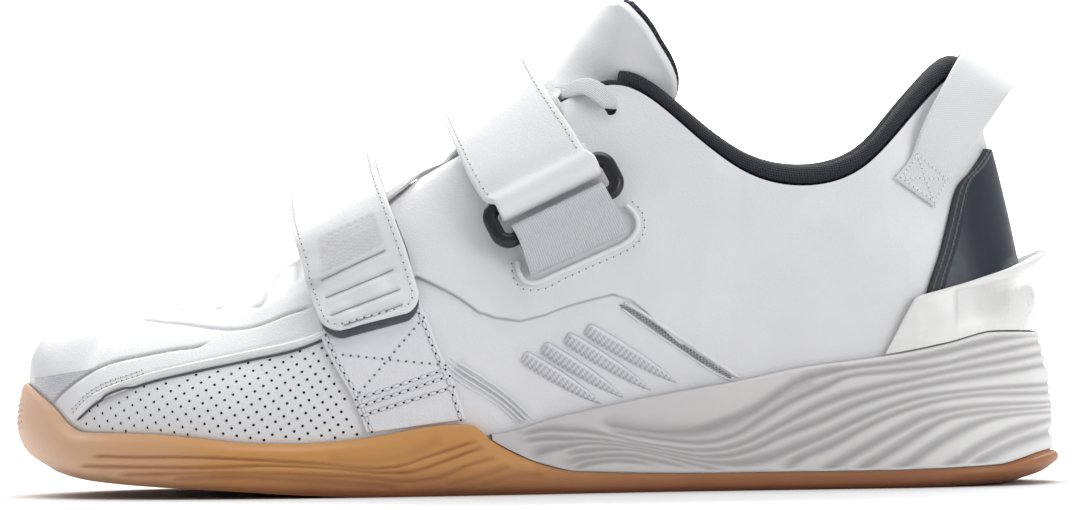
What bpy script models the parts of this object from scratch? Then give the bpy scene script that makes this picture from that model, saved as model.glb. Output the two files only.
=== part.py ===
"""A weightlifting shoe for the left foot, standing on its sole.

Toe to -X, lateral side to -Y, up +Z, the ground at Z = 0. The tables are in millimetres, as a last
maker would give them, and MM turns them into metres. scene.py repeats the tables that it needs.
"""

import math
from collections import Counter, namedtuple

import bmesh
import bpy
import numpy as np

MM = 0.001

# Sizes of the materials, in millimetres
GAP = 0.3
CUP = 0.45
WALL = 2.5
OVERLAY = 0.9
INSOLE = 3.2
TONGUE_FACE = 2.0
TONGUE_LINING = 2.6
STRAP = 2.2
LACE_WIDTH = 6.0
LACE_THICK = 1.2
EYELET_RADIUS = 2.2
WAVES = 9
WAVE_DEPTH = 0.75

# The upper, one row for each place round the last, from the heel back to the toe tip. The foot of
# the wall is at xl, yl on the lateral side and xm, ym on the medial side. Its top edge is at tx and
# tz, tyl and tym to the sides: collar, throat, and from the row "ball" on the ridge of the vamp.
# up and out lift the wall from its foot; hx, hy and hz are its slope at the top.
Place = namedtuple("Place", "name xl yl xm ym tx tyl tym tz up out hx hy hz")
LAST = [
    Place("heel back", 140.3, 0, 140.3, 0, 125.5, 0, 0, 117.5, 14, 0.8, 5.5, 0, -20),
    Place("heel corner", 134, -20.5, 133, 20, 119.5, -12, 12, 116.2, 16, 1, 3.5, 5, -20),
    Place("heel side", 113.5, -32.5, 111.5, 31.5, 104.5, -26.5, 26, 101, 18, 1.5, 1, 3.5, -18),
    Place("ankle back", 88, -35, 87, 33, 88.5, -32, 31.5, 88.4, 15, 1.5, 0, 2.5, -15),
    Place("ankle", 62.5, -35.7, 62, 33, 66, -33, 32, 88.4, 15, 1.5, -0.5, 3, -15),
    Place("shaft", 38, -37, 37.5, 34, 45.5, -29, 28.5, 102, 22, 2, -1, 6, -20),
    Place("corner", 14, -40.5, 13.5, 37, 27, -22.5, 22.5, 115.2, 26, 2, -3, 10, -22),
    Place("instep", -10, -45, -10.5, 41.5, 7.4, -19.5, 20, 110, 28, 2, -6, 12, -14),
    Place("midfoot", -34.5, -49.3, -35, 46.8, -18, -17, 19, 97, 26, 2, -8, 14, -10),
    Place("strap", -58.5, -51.3, -59, 49.7, -43, -13.5, 17.5, 82.3, 22, 2.5, -7, 15, -7),
    Place("ball", -82, -50, -83, 48.8, -69, 2.5, 2.5, 65.5, 18, 2.5, -5, 22, -2),
    Place("fore", -105, -44, -106, 44.3, -88, 3.3, 3.3, 58.2, 15, 2, -4, 22, -0.9),
    Place("toe side", -124.5, -33.5, -126, 36.5, -104, 4, 4, 54.9, 14, 1.5, -6, 18, -0.9),
    Place("toe corner", -138, -17.5, -139, 23.5, -114, 4.7, 4.7, 53.4, 14, 1, -11, 11, -1),
    Place("toe tip", -146, 4, -146, 4, -120, 5, 5, 52.8, 13, 1, -16, 0, -1.2),
]
TIP = len(LAST) - 1
BALL = 10
ROUND = 2 * TIP

# Heights along the shoe, x and z: the sole's top edge, the gum's top edge, the floor that the foot
# lies on, the gum's own floor, and its underside with the toe spring.
RIM = [(-150, 34), (-147, 33), (-141.3, 29), (-137.6, 26), (-132.8, 20.9), (-128.5, 19),
       (-111.3, 18.6), (-96.8, 17.4), (-82.4, 15.8), (-68, 15.4), (-59.4, 15.8), (-45, 17.3),
       (-33.4, 19.4), (-24.8, 20.2), (-19, 20), (-13.3, 17.3), (6.9, 22), (30, 26.6),
       (58.9, 31.4), (76.3, 34.8), (99.3, 37.6), (116.7, 40.9), (129.7, 43.9), (145, 43)]
GUM_TOP = RIM[:15] + [(-13.3, 15.4), (-7.6, 12), (1, 8.3), (11, 6.1), (47, 5), (96, 5),
                      (127.7, 5.9), (140, 9.6), (150, 9.9)]
BED = [(-150, 20.5), (-135, 14.5), (-110, 10.8), (-80, 9.6), (-40, 10.6), (0, 15), (40, 22.5),
       (70, 27), (100, 29), (145, 30)]
GUM_BED = [(-17, 12.7), (-15.2, 11.5), (14, 4.4), (150, 4.4)]
BOTTOM = [(-152, 18), (-146, 11.5), (-140, 7.8), (-126, 4.9), (-85, 2), (-60, 0.5), (-40, 0),
          (100, 0), (125, 0.4), (139, 1.1), (145, 2.7), (151, 8)]
FRONT_OF_MIDSOLE = -13.3

# The gum's side: how far it stands out from the foot of the upper, at the edge of the tread, at
# its shoulder, where it is widest and at its top edge, and how deep its inner wall is set.
Gum = namedtuple("Gum", "x edge shoulder shoulder_z wide wide_z top inner")
GUM = [
    Gum(-146, -6.0, 1.4, 13.5, 3.7, 20.0, 1.5, CUP),
    Gum(-132, -1.5, 3.2, 9.2, 4.4, 14.0, 2.0, CUP),
    Gum(-110, 1.5, 4.0, 5.4, 4.6, 10.5, 2.2, CUP),
    Gum(-75, 2.2, 4.3, 3.6, 4.7, 9.0, 2.3, CUP),
    Gum(-40, 2.6, 4.8, 2.5, 5.4, 9.0, 2.8, CUP),
    Gum(-17, 3.0, 5.8, 2.5, 6.8, 9.0, 4.2, CUP),
    Gum(0, 3.8, 6.2, 2.3, 6.6, 5.5, 5.4, 3.6),
    Gum(14, 4.0, 6.2, 2.0, 6.5, 4.0, 5.7, 4.9),
    Gum(100, 3.5, 6.2, 1.8, 6.6, 3.5, 6.0, 5.0),
    Gum(130, 1.0, 6.5, 2.6, 8.6, 5.0, 7.4, 5.8),
    Gum(140, -1.5, 7.2, 4.6, 9.9, 7.6, 7.8, 6.6),
]

# The midsole's side above the gum: how far it stands out at its lower edge, halfway and at its rim
Mid = namedtuple("Mid", "x low half rim")
MID = [
    Mid(-15, 4.2, 4.2, 3.8),
    Mid(0, 5.4, 5.6, 4.0),
    Mid(40, 5.6, 6.2, 3.6),
    Mid(100, 5.8, 6.4, 3.8),
    Mid(130, 7.4, 8.2, 4.6),
    Mid(141, 8.6, 9.4, 5.0),
]

# The step round the upper, in side view: the piping over the side of the forefoot, then the lower
# edge of the smooth quarter. The wall above it is thicker by OVERLAY.
STEP = [(-131.3, 22.5), (-125.5, 27.4), (-111, 32.9), (-96.6, 36.2), (-82, 39.1), (-67.7, 42.1),
        (-55, 47), (-44, 57), (-33.7, 62.1), (-27.1, 59.1), (-15.7, 51.7), (-9.9, 50.2),
        (-4.2, 49.3), (3, 50.9), (16.1, 55), (22.4, 56.4), (27.6, 54.6), (32, 51), (56, 32.5)]

# The tongue, a row for each place of the throat: how high its crest stands over the line between
# the throat's edges, then the free end, with its crest, its side and its edge.
THROAT = [(10.25, -3.8), (9.85, -3.2), (9.4, -2.2), (8.9, -2.4), (8.3, -2), (7.7, 0.5), (7.1, 7)]
FREE_END = [
    ((10.5, 0.5, 125), (19.5, 14.6, 117), (36, 17.2, 104)),
    ((15, 0.5, 131), (23.5, 17.0, 124.5), (41.5, 18.6, 113)),
    ((18.8, 0.5, 136), (24.5, 18.5, 132.4), (35.5, 24.5, 127)),
    ((21.6, 0.5, 139.6), (23.4, 14.5, 139.6), (27.6, 25.5, 139)),
]


def smooth(table, x, column=1):
    """The table's column at x, on a curve that doesn't overshoot between two rows."""
    rows = np.array([[row[0], row[column]] for row in table], float)
    steps = np.diff(rows, axis=0)
    slope = steps[:, 1] / steps[:, 0]
    inside = np.where(slope[1:] * slope[:-1] > 0,
                      2 * slope[1:] * slope[:-1] / (slope[1:] + slope[:-1] + 1e-12), 0)
    tangent = np.concatenate([slope[:1], inside, slope[-1:]])
    x = np.clip(x, rows[0, 0], rows[-1, 0])
    i = np.clip(np.searchsorted(rows[:, 0], x) - 1, 0, len(rows) - 2)
    width = rows[i + 1, 0] - rows[i, 0]
    u = (x - rows[i, 0]) / width
    return (rows[i, 1] * (1 + 2 * u) * (1 - u) ** 2 + rows[i + 1, 1] * u * u * (3 - 2 * u)
            + tangent[i] * width * u * (1 - u) ** 2 - tangent[i + 1] * width * u * u * (1 - u))


def ring_rows():
    """The last's rows all the way round, the medial side mirrored back to the heel."""
    def row(place, medial):
        x, y, ty, side = ((place.xm, place.ym, place.tym, 1) if medial
                          else (place.xl, place.yl, place.tyl, -1))
        return (x, y, place.tx, ty, place.tz, place.up, place.out,
                place.hx, side * place.hy, place.hz)

    lateral = [row(place, False) for place in LAST]
    return np.array(lateral + [row(place, True) for place in LAST[TIP - 1:0:-1]], float)


RING = ring_rows()
LOOP = 4 * np.eye(ROUND) + np.roll(np.eye(ROUND), 1, 1) + np.roll(np.eye(ROUND), -1, 1)
SLOPE = np.linalg.solve(LOOP, 3 * (np.roll(RING, -1, 0) - np.roll(RING, 1, 0)))


def ring(t):
    """The last's columns at place t, counted in rows round the ring."""
    t = np.mod(t, ROUND)
    i = np.minimum(np.floor(t).astype(int), ROUND - 1)
    u = (t - i)[..., None]
    after = (i + 1) % ROUND
    return (RING[i] * (1 + 2 * u) * (1 - u) ** 2 + RING[after] * u * u * (3 - 2 * u)
            + SLOPE[i] * u * (1 - u) ** 2 - SLOPE[after] * u * u * (1 - u))


def outline(t, out=0.0):
    """The foot of the upper in plan, moved out by so many millimetres."""
    t = np.asarray(t, float)
    along = ring(t + 0.01)[..., :2] - ring(t - 0.01)[..., :2]
    away = np.stack([along[..., 1], -along[..., 0]], -1) * -1
    away /= np.linalg.norm(away, axis=-1, keepdims=True)
    return ring(t)[..., :2] + away * np.asarray(out)[..., None]


def last(t, v):
    """A point of the upper's outside: v is -1 at the foot, 0 at the sole's rim and 1 at the top."""
    t, v = np.broadcast_arrays(np.asarray(t, float), np.asarray(v, float))
    row = ring(t)
    ridge = (np.abs(np.mod(t, ROUND) - TIP) <= TIP - BALL)[..., None]
    top = np.where(ridge, (row[..., 2:5] + ring(ROUND - t)[..., 2:5]) / 2, row[..., 2:5])
    foot = row[..., :2]
    rim = smooth(RIM, foot[..., 0])
    floor = smooth(BED, foot[..., 0]) + 0.4
    lean = outline(t, row[..., 6])
    start = np.concatenate([foot, rim[..., None]], -1)
    second = np.concatenate([lean, (rim + row[..., 5])[..., None]], -1)
    third = top + row[..., 7:10]
    u = np.clip(v, 0, 1)[..., None]
    wall = (start * (1 - u) ** 3 + 3 * second * u * (1 - u) ** 2
            + 3 * third * u * u * (1 - u) + top * u ** 3)
    band = np.concatenate([foot, (rim + v * (rim - floor))[..., None]], -1)
    return np.where(v[..., None] < 0, band, wall)


def outward(t, v):
    """The direction away from the foot, the same from both sides on the vamp's ridge."""
    t, v = np.broadcast_arrays(np.asarray(t, float), np.asarray(v, float))

    def normal(at):
        high = np.minimum(v + 0.015, 1)
        low = high - 0.03
        facing = np.cross(last(at, high) - last(at, low), last(at + 0.03, v) - last(at - 0.03, v))
        return facing / (np.linalg.norm(facing, axis=-1, keepdims=True) + 1e-12)

    here, there = normal(t), normal(ROUND - t)
    on_ridge = ((np.abs(np.mod(t, ROUND) - TIP) <= TIP - BALL) & (v > 0.999))[..., None]
    both = here + there
    both /= np.linalg.norm(both, axis=-1, keepdims=True) + 1e-12
    return np.where(on_ridge, both, here)


def locate(x, z):
    """Where the lateral side shows x, z in side view, as t and v."""
    places, heights = np.meshgrid(np.linspace(0, TIP, 141), np.linspace(0, 1, 61), indexing="ij")
    grid = last(places, heights)
    found = []
    for px, pz in zip(np.atleast_1d(x), np.atleast_1d(z)):
        away = (grid[..., 0] - px) ** 2 + (grid[..., 2] - pz) ** 2
        i = np.unravel_index(np.argmin(away), away.shape)
        at = np.array([places[i], heights[i]])
        for _ in range(12):
            here = last(*at)[[0, 2]]
            by_t = (last(at[0] + 0.01, at[1])[[0, 2]] - here) / 0.01
            by_v = (last(at[0], at[1] - 0.01)[[0, 2]] - here) / -0.01
            move = np.linalg.lstsq(np.stack([by_t, by_v], 1), [px, pz] - here, rcond=None)[0]
            at = np.clip(at + np.clip(move, -0.3, 0.3), [0, 0], [TIP, 1])
        found.append(at)
    return np.array(found)


def step_line():
    """The step's height v at places t, level with the rim where there is no step."""
    found = locate([x for x, _ in STEP], [z for _, z in STEP])
    order = np.argsort(found[:, 0])
    return found[order]


STEP_AT = step_line()


def step_v(t):
    t = np.mod(t, ROUND)
    t = np.minimum(t, ROUND - t)
    return np.maximum(np.interp(t, STEP_AT[:, 0], STEP_AT[:, 1], 0, 0), 0.03)


def raised(t, v):
    """How far the wall stands out of the last at t, v."""
    t = np.mod(t, ROUND)
    t = np.minimum(t, ROUND - t)
    near = np.clip((t - STEP_AT[0, 0]) / 0.4, 0, 1) * np.clip((STEP_AT[-1, 0] + 0.3 - t) / 0.4, 0, 1)
    return np.where(v > step_v(t) + 0.01, OVERLAY * np.clip(near, 0.1, 1), 0)


def skin(t, v, out=0.0):
    """The upper's outside with its step, moved out by so many millimetres."""
    lift = raised(t, v) + out
    return last(t, v) + outward(t, v) * np.asarray(lift)[..., None]


def side(x, z, out=0.0, medial=False):
    """The point that the side view shows at x, z, on either side of the shoe."""
    at = locate(x, z)
    t, v = at[:, 0], at[:, 1]
    return skin(ROUND - t if medial else t, v, out)


def spline(points, count):
    """count points on a smooth curve through the given ones."""
    points = np.asarray(points, float)
    chord = np.concatenate([[0], np.cumsum(np.linalg.norm(np.diff(points, axis=0), axis=1))])
    at = np.linspace(0, chord[-1], count)
    return np.stack([smooth(np.stack([chord, points[:, k]], 1), at) for k in range(3)], 1)


def material(name, colour, roughness, metallic=0.0):
    made = bpy.data.materials.new(name)
    made.use_nodes = True
    shader = made.node_tree.nodes["Principled BSDF"]
    shader.inputs["Base Color"].default_value = (*colour, 1)
    shader.inputs["Roughness"].default_value = roughness
    shader.inputs["Metallic"].default_value = metallic
    made.diffuse_color = (*colour, 1)
    return made


def halves(face):
    """A face of four corners as two triangles along its shorter diagonal."""
    if len(face) == 3:
        return [face]
    a, b, c, d = face
    if (a.co - c.co).length < (b.co - d.co).length:
        return [(a, b, c), (a, c, d)]
    return [(a, b, d), (b, c, d)]


def loft(name, sections, look, closed=False):
    """One closed body from sections, each a closed polygon of equal length, in millimetres.

    Points that coincide are one vertex, as at the ridge and at the tips. Two faces with the same
    corners are then inside the body, so neither is made."""
    sections = np.asarray(sections, float)
    count, points = sections.shape[:2]
    shape = bmesh.new()
    at = {}

    def vertex(point):
        key = tuple(np.round(point * 500).astype(int))
        if key not in at:
            at[key] = shape.verts.new(point * MM)
        return at[key]

    verts = [[vertex(point) for point in section] for section in sections]
    faces = []
    for i in range(count if closed else count - 1):
        first, second = verts[i], verts[(i + 1) % count]
        faces += [(first[k - 1], first[k], second[k], second[k - 1]) for k in range(points)]
    if not closed:
        for end in (verts[0], verts[-1]):
            faces += [(end[k], end[k + 1], end[points - 2 - k], end[points - 1 - k])
                      for k in range(points // 2 - 1)]
    corners = [tuple(dict.fromkeys(face)) for face in faces]
    seen = Counter(frozenset(face) for face in corners)
    for face in corners:
        if len(face) > 2 and seen[frozenset(face)] == 1:
            for part in halves(face):
                shape.faces.new(part)
    bmesh.ops.recalc_face_normals(shape, faces=shape.faces)
    mesh = bpy.data.meshes.new(name)
    shape.to_mesh(mesh)
    shape.free()
    mesh.materials.append(look)
    made = bpy.data.objects.new(name, mesh)
    bpy.context.collection.objects.link(made)
    return made


def sheet(name, outer, inner, look, closed=False):
    """A layer between two grids of points, outer and inner, a column for each section."""
    return loft(name, np.concatenate([outer, inner[:, ::-1]], 1), look, closed)


def shoulders(x):
    """The lateral and the medial place t whose foot lies at x."""
    t = np.linspace(0, TIP, 1401)
    lateral, medial = ring(t)[:, 0], ring(ROUND - t)[:, 0]
    return (float(np.interp(-x, -lateral, t)), ROUND - float(np.interp(-x, -medial, t)))


def across(x, profile):
    """One section of the sole: the profile up the lateral side, then down the medial side."""
    lateral, medial = shoulders(x)
    return np.concatenate([profile(lateral), profile(medial)[::-1]])


def sole_stops():
    """x of the sections of the sole, one set for gum and midsole, closer together at both ends."""
    toe = [float(ring(t)[0]) for t in np.arange(TIP, BALL - 0.5, -0.36)]
    waist = [-70, -56, -43, -32, -24, -17, -15.2, -13.3, -10, -6, -2, 3, 8, 14, 26, 42, 60, 76]
    heel = [float(ring(t)[0]) for t in np.arange(3.0, -0.1, -0.3)]
    return [x for x in toe if x < -76] + waist + heel


def lift(xy, z):
    return np.append(xy, z)


def gum_bed(x):
    return np.where(x < GUM_BED[0][0], smooth(BED, x), smooth(GUM_BED, x))


def gum_profile(t):
    """Tread edge, shoulder, side, top edge, inner edge and floor of the outsole at place t."""
    x = float(ring(t)[0])
    row = Gum(*[float(smooth(GUM, x, k)) if k else x for k in range(8)])
    top = float(smooth(GUM_TOP, x))
    points = []
    edge = outline(t, row.edge)
    points.append(lift(edge, smooth(BOTTOM, edge[0])))
    shoulder = outline(t, row.shoulder)
    points.append(lift(shoulder, row.shoulder_z))
    for part, out in ((0.0, 0.0), (0.33, -0.55), (0.66, 0.1)):
        z = row.wide_z + part * (top - row.wide_z)
        hump = math.exp(-((x + 45) / 32) ** 2)
        stand = row.wide + (row.top - row.wide) * part ** 2 + out * hump
        points.append(lift(outline(t, stand), z))
    points.append(lift(outline(t, row.top + 0.25), top - 0.8))
    points.append(lift(outline(t, row.top - 0.3), top))
    points.append(lift(outline(t, row.inner), top))
    points.append(lift(outline(t, row.inner), float(gum_bed(x))))
    return np.array(points)


def wave_height(x, n):
    """The height share of wave n at x: 1 at the rim, 0 at the lower edge."""
    start = -60 + 190 * (n / WAVES) ** 0.55
    reach = 78 - 38 * n / WAVES
    rise = np.clip((x - start) / reach, 0, 1)
    rise = np.where(n == 0, 1, rise * rise * (3 - 2 * rise))
    flat = 1 - n / (WAVES + 1)
    return flat * (0.2 + 0.8 * rise)


def mid_profile(t):
    """The midsole at place t: its floor on the gum, the waves of its side, its rim and its bed."""
    x = float(ring(t)[0])
    row = Mid(*[float(smooth(MID, x, k)) if k else x for k in range(4)])
    inner = float(smooth(GUM, x, 7)) - GAP
    low, rim = float(smooth(GUM_TOP, x)) + GAP, float(smooth(RIM, x))
    points = [lift(outline(t, inner), float(gum_bed(x)) + GAP), lift(outline(t, inner), low),
              lift(outline(t, row.low), low)]
    tall = min(1, (rim - low) / 20)
    for k in range(2 * WAVES - 1, 0, -1):
        n = k / 2
        share = float(wave_height(x, n))
        stand = (row.low * (1 - share) ** 2 + 2 * row.half * share * (1 - share) * 1.3
                 + row.rim * share ** 2) / (1 + 0.6 * share * (1 - share))
        stand += WAVE_DEPTH * tall * math.cos(2 * math.pi * n) * min(1, 6 * (1 - share))
        points.append(lift(outline(t, stand), low + share * (rim - low)))
    points.append(lift(outline(t, row.rim - 0.2), rim))
    points.append(lift(outline(t, CUP), rim))
    points.append(lift(outline(t, CUP), float(smooth(BED, x))))
    return np.array(points)


def make_sole():
    gum = material("gum rubber", (0.56, 0.30, 0.13), 0.5)
    white = material("white midsole", (0.86, 0.85, 0.82), 0.45)
    stops = sole_stops()
    loft("outsole", [across(x, gum_profile) for x in stops], gum)
    behind = [x for x in stops if x >= FRONT_OF_MIDSOLE]
    loft("midsole", [across(x, mid_profile) for x in behind], white)


def make_insole():
    """The sockliner, inside the foot of the upper."""
    grey = material("sockliner", (0.10, 0.11, 0.13), 0.9)

    def profile(t):
        foot = outline(t, -WALL - 0.9)
        z = float(smooth(BED, foot[0])) + 0.5
        top = outline(t, -WALL - 1.3)
        return np.array([lift(foot, z), lift(foot, z + INSOLE - 0.5), lift(top, z + INSOLE)])

    loft("insole", [across(x, profile) for x in sole_stops()[::2]], grey)


def places(first, final, spacing=0.5):
    """Columns round the last, closer together at the toe and the heel."""
    made, t = [], first
    while t < final - 0.12:
        made.append(t)
        end = min(abs(math.remainder(t, ROUND)), abs(math.remainder(t - TIP, ROUND)))
        t += spacing * (0.6 if end < 2.5 else 1)
    return made + [final]


def make_upper(look):
    """The hollow shell, open at the collar, the throat and underneath, with its eyelets cut."""
    half = places(0, TIP)
    columns = half + [ROUND - t for t in half[-2:0:-1]]
    sections = []
    for t in columns:
        edge = float(step_v(t))
        low = [-1, 0, edge / 2, edge]
        high = edge + 0.03 + (0.97 - edge) * np.linspace(0, 1, 7) ** 0.9
        v = np.concatenate([low, high])
        outer = skin(np.full(len(v), t), v)
        inner_v = np.concatenate([[-1, 0, edge / 2], high[::2]])
        inner = last(np.full(len(inner_v), t), inner_v) - WALL * outward(
            np.full(len(inner_v), t), inner_v)
        sections.append(np.concatenate([outer, inner[::-1]]))
    made = loft("upper", sections, look, closed=True)
    for number, (t, medial) in enumerate((t, m) for t in EYELETS for m in (False, True)):
        cut_eyelet(made, number, ROUND - t if medial else t)
    return made


EYELETS = (9.45, 8.92, 7.68, 6.92, 6.17)
EYELET_V = 0.9
TOP_CROSSING = 7.3


def cut_eyelet(upper, number, t):
    at = last(t, EYELET_V)
    axis = outward(t, EYELET_V)
    beside = np.cross(axis, [0, 0, 1.0])
    beside /= np.linalg.norm(beside)
    over = np.cross(axis, beside)
    turn = np.arange(6) * math.tau / 6
    circle = EYELET_RADIUS * (np.outer(np.cos(turn), beside) + np.outer(np.sin(turn), over))
    cutter = loft(f"eyelet_cutter_{number}", [at + circle - 6 * axis, at + circle + 5 * axis],
                  upper.data.materials[0])
    cutter.hide_render = True
    cutter.display_type = "WIRE"
    cut = upper.modifiers.new(f"eyelet {number}", "BOOLEAN")
    cut.operation = "DIFFERENCE"
    cut.solver = "EXACT"
    cut.object = cutter


def tongue_sections(count=9):
    """The outside of the tongue, a row of points across it for each place along it."""
    rows = []
    for t, dome in THROAT:
        points = []
        for at, hand in ((t, -1), (ROUND - t, 1)):
            under = last(at, 1.0) - (WALL + 0.7) * outward(at, 1.0)
            hidden = last(at, 0.86) - (WALL + 1.0) * outward(at, 0.86)
            points.append((hidden, under))
        middle = (last(t, 1.0) + last(ROUND - t, 1.0)) / 2
        slope = last(t - 0.2, 1.0) - last(t + 0.2, 1.0)
        up = np.array([-slope[2], 0, slope[0]]) / math.hypot(slope[0], slope[2])
        crest = middle + dome * up
        (hidden_l, under_l), (hidden_m, under_m) = points
        if t > BALL:
            hidden_l = last(t, 0.8) - (WALL + 0.8) * outward(t, 0.8)
            hidden_m = last(ROUND - t, 0.8) - (WALL + 0.8) * outward(ROUND - t, 0.8)
            under_l = last(t, 0.9) - (WALL + 0.8) * outward(t, 0.9)
            under_m = last(ROUND - t, 0.9) - (WALL + 0.8) * outward(ROUND - t, 0.9)
        rows.append(spline([hidden_l, under_l, crest, under_m, hidden_m], count))
    for crest, flank, edge in FREE_END:
        mirror = np.array([1, -1, 1])
        left = [np.array(edge) * mirror, np.array(flank) * mirror]
        rows.append(spline([*left, crest, flank, edge], count))
    return np.array(rows)


def grid_normals(grid):
    along = np.gradient(grid, axis=0)
    wide = np.gradient(grid, axis=1)
    facing = np.cross(along, wide)
    return facing / np.linalg.norm(facing, axis=-1, keepdims=True)


def make_tongue():
    face = material("white tongue", (0.84, 0.84, 0.85), 0.55)
    dark = material("dark knit", (0.015, 0.018, 0.03), 0.9)
    outside = tongue_sections()
    facing = grid_normals(outside)
    if facing[4, 4, 2] < 0:
        facing = -facing
    level = np.linspace(0.6, 0, len(FREE_END))[:, None]
    facing[-len(FREE_END):, :, 2] *= level
    facing /= np.linalg.norm(facing, axis=-1, keepdims=True)
    inside = outside - TONGUE_FACE * facing
    sheet("tongue", outside, inside, face)
    under = outside - (TONGUE_FACE + 0.5) * facing
    lower = under - TONGUE_LINING * facing
    sheet("tongue_lining", under, lower, dark)


def make_collar(look):
    """The padded ring inside the collar, rolled over its top edge."""
    sections = []
    for t in places(-6.15, 6.15, 0.5):
        padding = 0.35 + 0.65 * min(1, (6.15 - abs(t)) / 1.2)
        up = last(t, 1.0) - last(t, 0.97)
        up /= np.linalg.norm(up)
        away, edge = outward(t, 1.0), last(t, 1.0)
        back = WALL + 0.6

        def deep(v, depth):
            return last(t, v) - depth * outward(t, v)

        def beyond(out, rise):
            return edge + out * away + rise * up

        sections.append([
            deep(0.62, back), deep(0.8, back), deep(0.985, back), beyond(-back, 0.5),
            beyond(-0.4, 1.0), beyond(-0.2, 2.8), beyond(-1.8, 4.4),
            beyond(-back - 2.2 * padding, 4.4), beyond(-back - 4.6 * padding, 2.6),
            beyond(-back - 5.2 * padding, 0), deep(0.85, back + 4.6 * padding),
            deep(0.62, back + 1.6),
        ])
    loft("collar_lining", sections, look)


def across_rows(rows, count=5):
    """Rows of points, each straight from the first to the second point of a row."""
    share = np.linspace(0, 1, count)[:, None]
    return np.array([np.array(a) * (1 - share) + np.array(b) * share for a, b in rows])


def on_side(rows, count, out, medial=False):
    """Rows of points on the upper, each row given by its two ends in side view."""
    share = np.linspace(0, 1, count)
    return np.array([side(x0 + (x1 - x0) * share, z0 + (z1 - z0) * share, out, medial)
                     for x0, z0, x1, z1 in rows])


def thick(name, grid, thickness, look, away):
    """A sheet as thick as given, with the grid on its inner face; away is a point inside it."""
    facing = grid_normals(grid)
    middle = tuple(np.array(grid.shape[:2]) // 2)
    if np.dot(facing[middle], grid[middle] - np.array(away)) < 0:
        facing = -facing
    return sheet(name, grid + thickness * facing, grid, look)


def tube(name, path, radius, look, closed=False, sides=6):
    """A round bar along a path, its section turned so that it doesn't twist."""
    path = np.asarray(path, float)
    along = (np.roll(path, -1, 0) - np.roll(path, 1, 0)) if closed else np.gradient(path, axis=0)
    along /= np.linalg.norm(along, axis=1, keepdims=True)
    beside = np.cross(along[0], [0.3, 0.5, 0.8])
    sections = []
    for point, ahead in zip(path, along):
        beside = beside - np.dot(beside, ahead) * ahead
        beside /= np.linalg.norm(beside)
        over = np.cross(ahead, beside)
        turn = (np.arange(sides) + 0.5) * math.tau / sides
        sections.append(point + radius * (np.outer(np.cos(turn), beside)
                                          + np.outer(np.sin(turn), over)))
    return loft(name, sections, look, closed)


# Overlays and straps in side view, x and z at the front and the rear edge of each row
STRAP_BASE = [(-48.2, 18.3, -20.2, 21.6), (-52.5, 29, -23.8, 33), (-57, 37, -27.4, 41.6),
              (-60.2, 44, -31, 51), (-61.5, 51, -34.5, 58)]
FREE_STRAP_END = [(-56.0, 45.8, -35.4, 51.8), (-59.8, 48.2, -32.4, 55.6),
                  (-61.2, 52, -33.2, 60.0)]
LOWER_STRAP_TOP = [((-63.6, -42.8, 60), (-35.6, -45.5, 68.4)),
                   ((-66.4, -35.9, 67.5), (-39.7, -37, 79.7)),
                   ((-68.9, -20.5, 77), (-43.6, -20, 90.7)),
                   ((-69.4, -1, 82.5), (-44.9, 0, 96.5)),
                   ((-69, 19, 78), (-43.8, 20, 91)),
                   ((-68, 37.5, 66.5), (-40, 40.5, 78.5))]
LOWER_STRAP_MEDIAL = [(-64, 51, -35, 61), (-60.5, 42, -30.5, 51), (-57, 34, -27, 41),
                      (-51, 25, -23.5, 32), (-47, 18.6, -20.4, 22.5)]
UPPER_STRAP_TOP = [((-13.8, -41.5, 83.5), (15.2, -38.5, 97.6)),
                   ((-17.2, -39.2, 88.5), (12.4, -35.5, 102.2)),
                   ((-20.9, -31, 96.5), (6.6, -28, 111)),
                   ((-24, -15, 103.5), (1.2, -13, 120.2)),
                   ((-25, 1, 106.3), (-0.5, 0.5, 124.1)),
                   ((-24, 18, 103.8), (1.2, 15, 120.4)),
                   ((-21, 32.5, 97), (6.6, 29.5, 111))]
UPPER_STRAP_MEDIAL = [(-17, 86, 12.4, 99.5), (-12, 76, 17, 88), (-7, 66, 22, 77.5)]
RING_ENDS = (-9.5, 74.4), (20.9, 88.8)
RING_HALF_WIDTH = 5.4
RING_BAR = 2.0
RING_OUT = 5.6
WEBBING = 1.1
SLOT = (-1.0, 61.6), (26.8, 73.3)
SLOT_RIM = [(-4.6, 65.6), (-4.3, 62.6), (-2.6, 60.1), (0.6, 59.8), (4.6, 61.4), (8.6, 63.1),
            (12.6, 64.8), (16.6, 66.5), (20.6, 68.2), (24.6, 69.9), (28.0, 72.0), (29.8, 75.2),
            (29.0, 78.6), (26.6, 81.0)]
RIBS = [(-3.5, 39.2, 18.8, 25.2), (2.2, 41.8, 25.2, 26.9), (8.8, 44.4, 32.9, 28.9),
        (14.6, 46.8, 40.5, 30.8)]
RIB_WIDTH = 4.6
RIB_HEIGHT = 1.5
COUNTER = [(109.6, 49), (112.5, 58), (115.4, 66), (117.9, 75), (120.4, 84), (124.8, 89.5),
           (129.3, 96)]
CLIP_TOP = [(0, 66.8), (0.5, 65.2), (1.0, 61.8), (1.5, 58.6), (2.05, 55.2), (2.2, 54.2)]
CLIP_STOPS = (0, 0.3, 0.6, 0.92, 1.3, 1.75, 2.2, 2.55)


def make_strap_base(look):
    """The band sewn to the side under the free end of the lower strap, down to the sole."""
    grid = on_side(STRAP_BASE, 5, GAP + 0.4)
    thick("strap_base", grid, OVERLAY, look, (0, 0, 40))


def make_lower_strap(look):
    free = on_side(FREE_STRAP_END, 5, GAP + OVERLAY + 0.9)
    top = across_rows(LOWER_STRAP_TOP)
    sewn = on_side(LOWER_STRAP_MEDIAL, 5, GAP + 0.6, medial=True)
    thick("strap_lower", np.concatenate([free, top, sewn]), STRAP, look, (-50, 0, 40))


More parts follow.
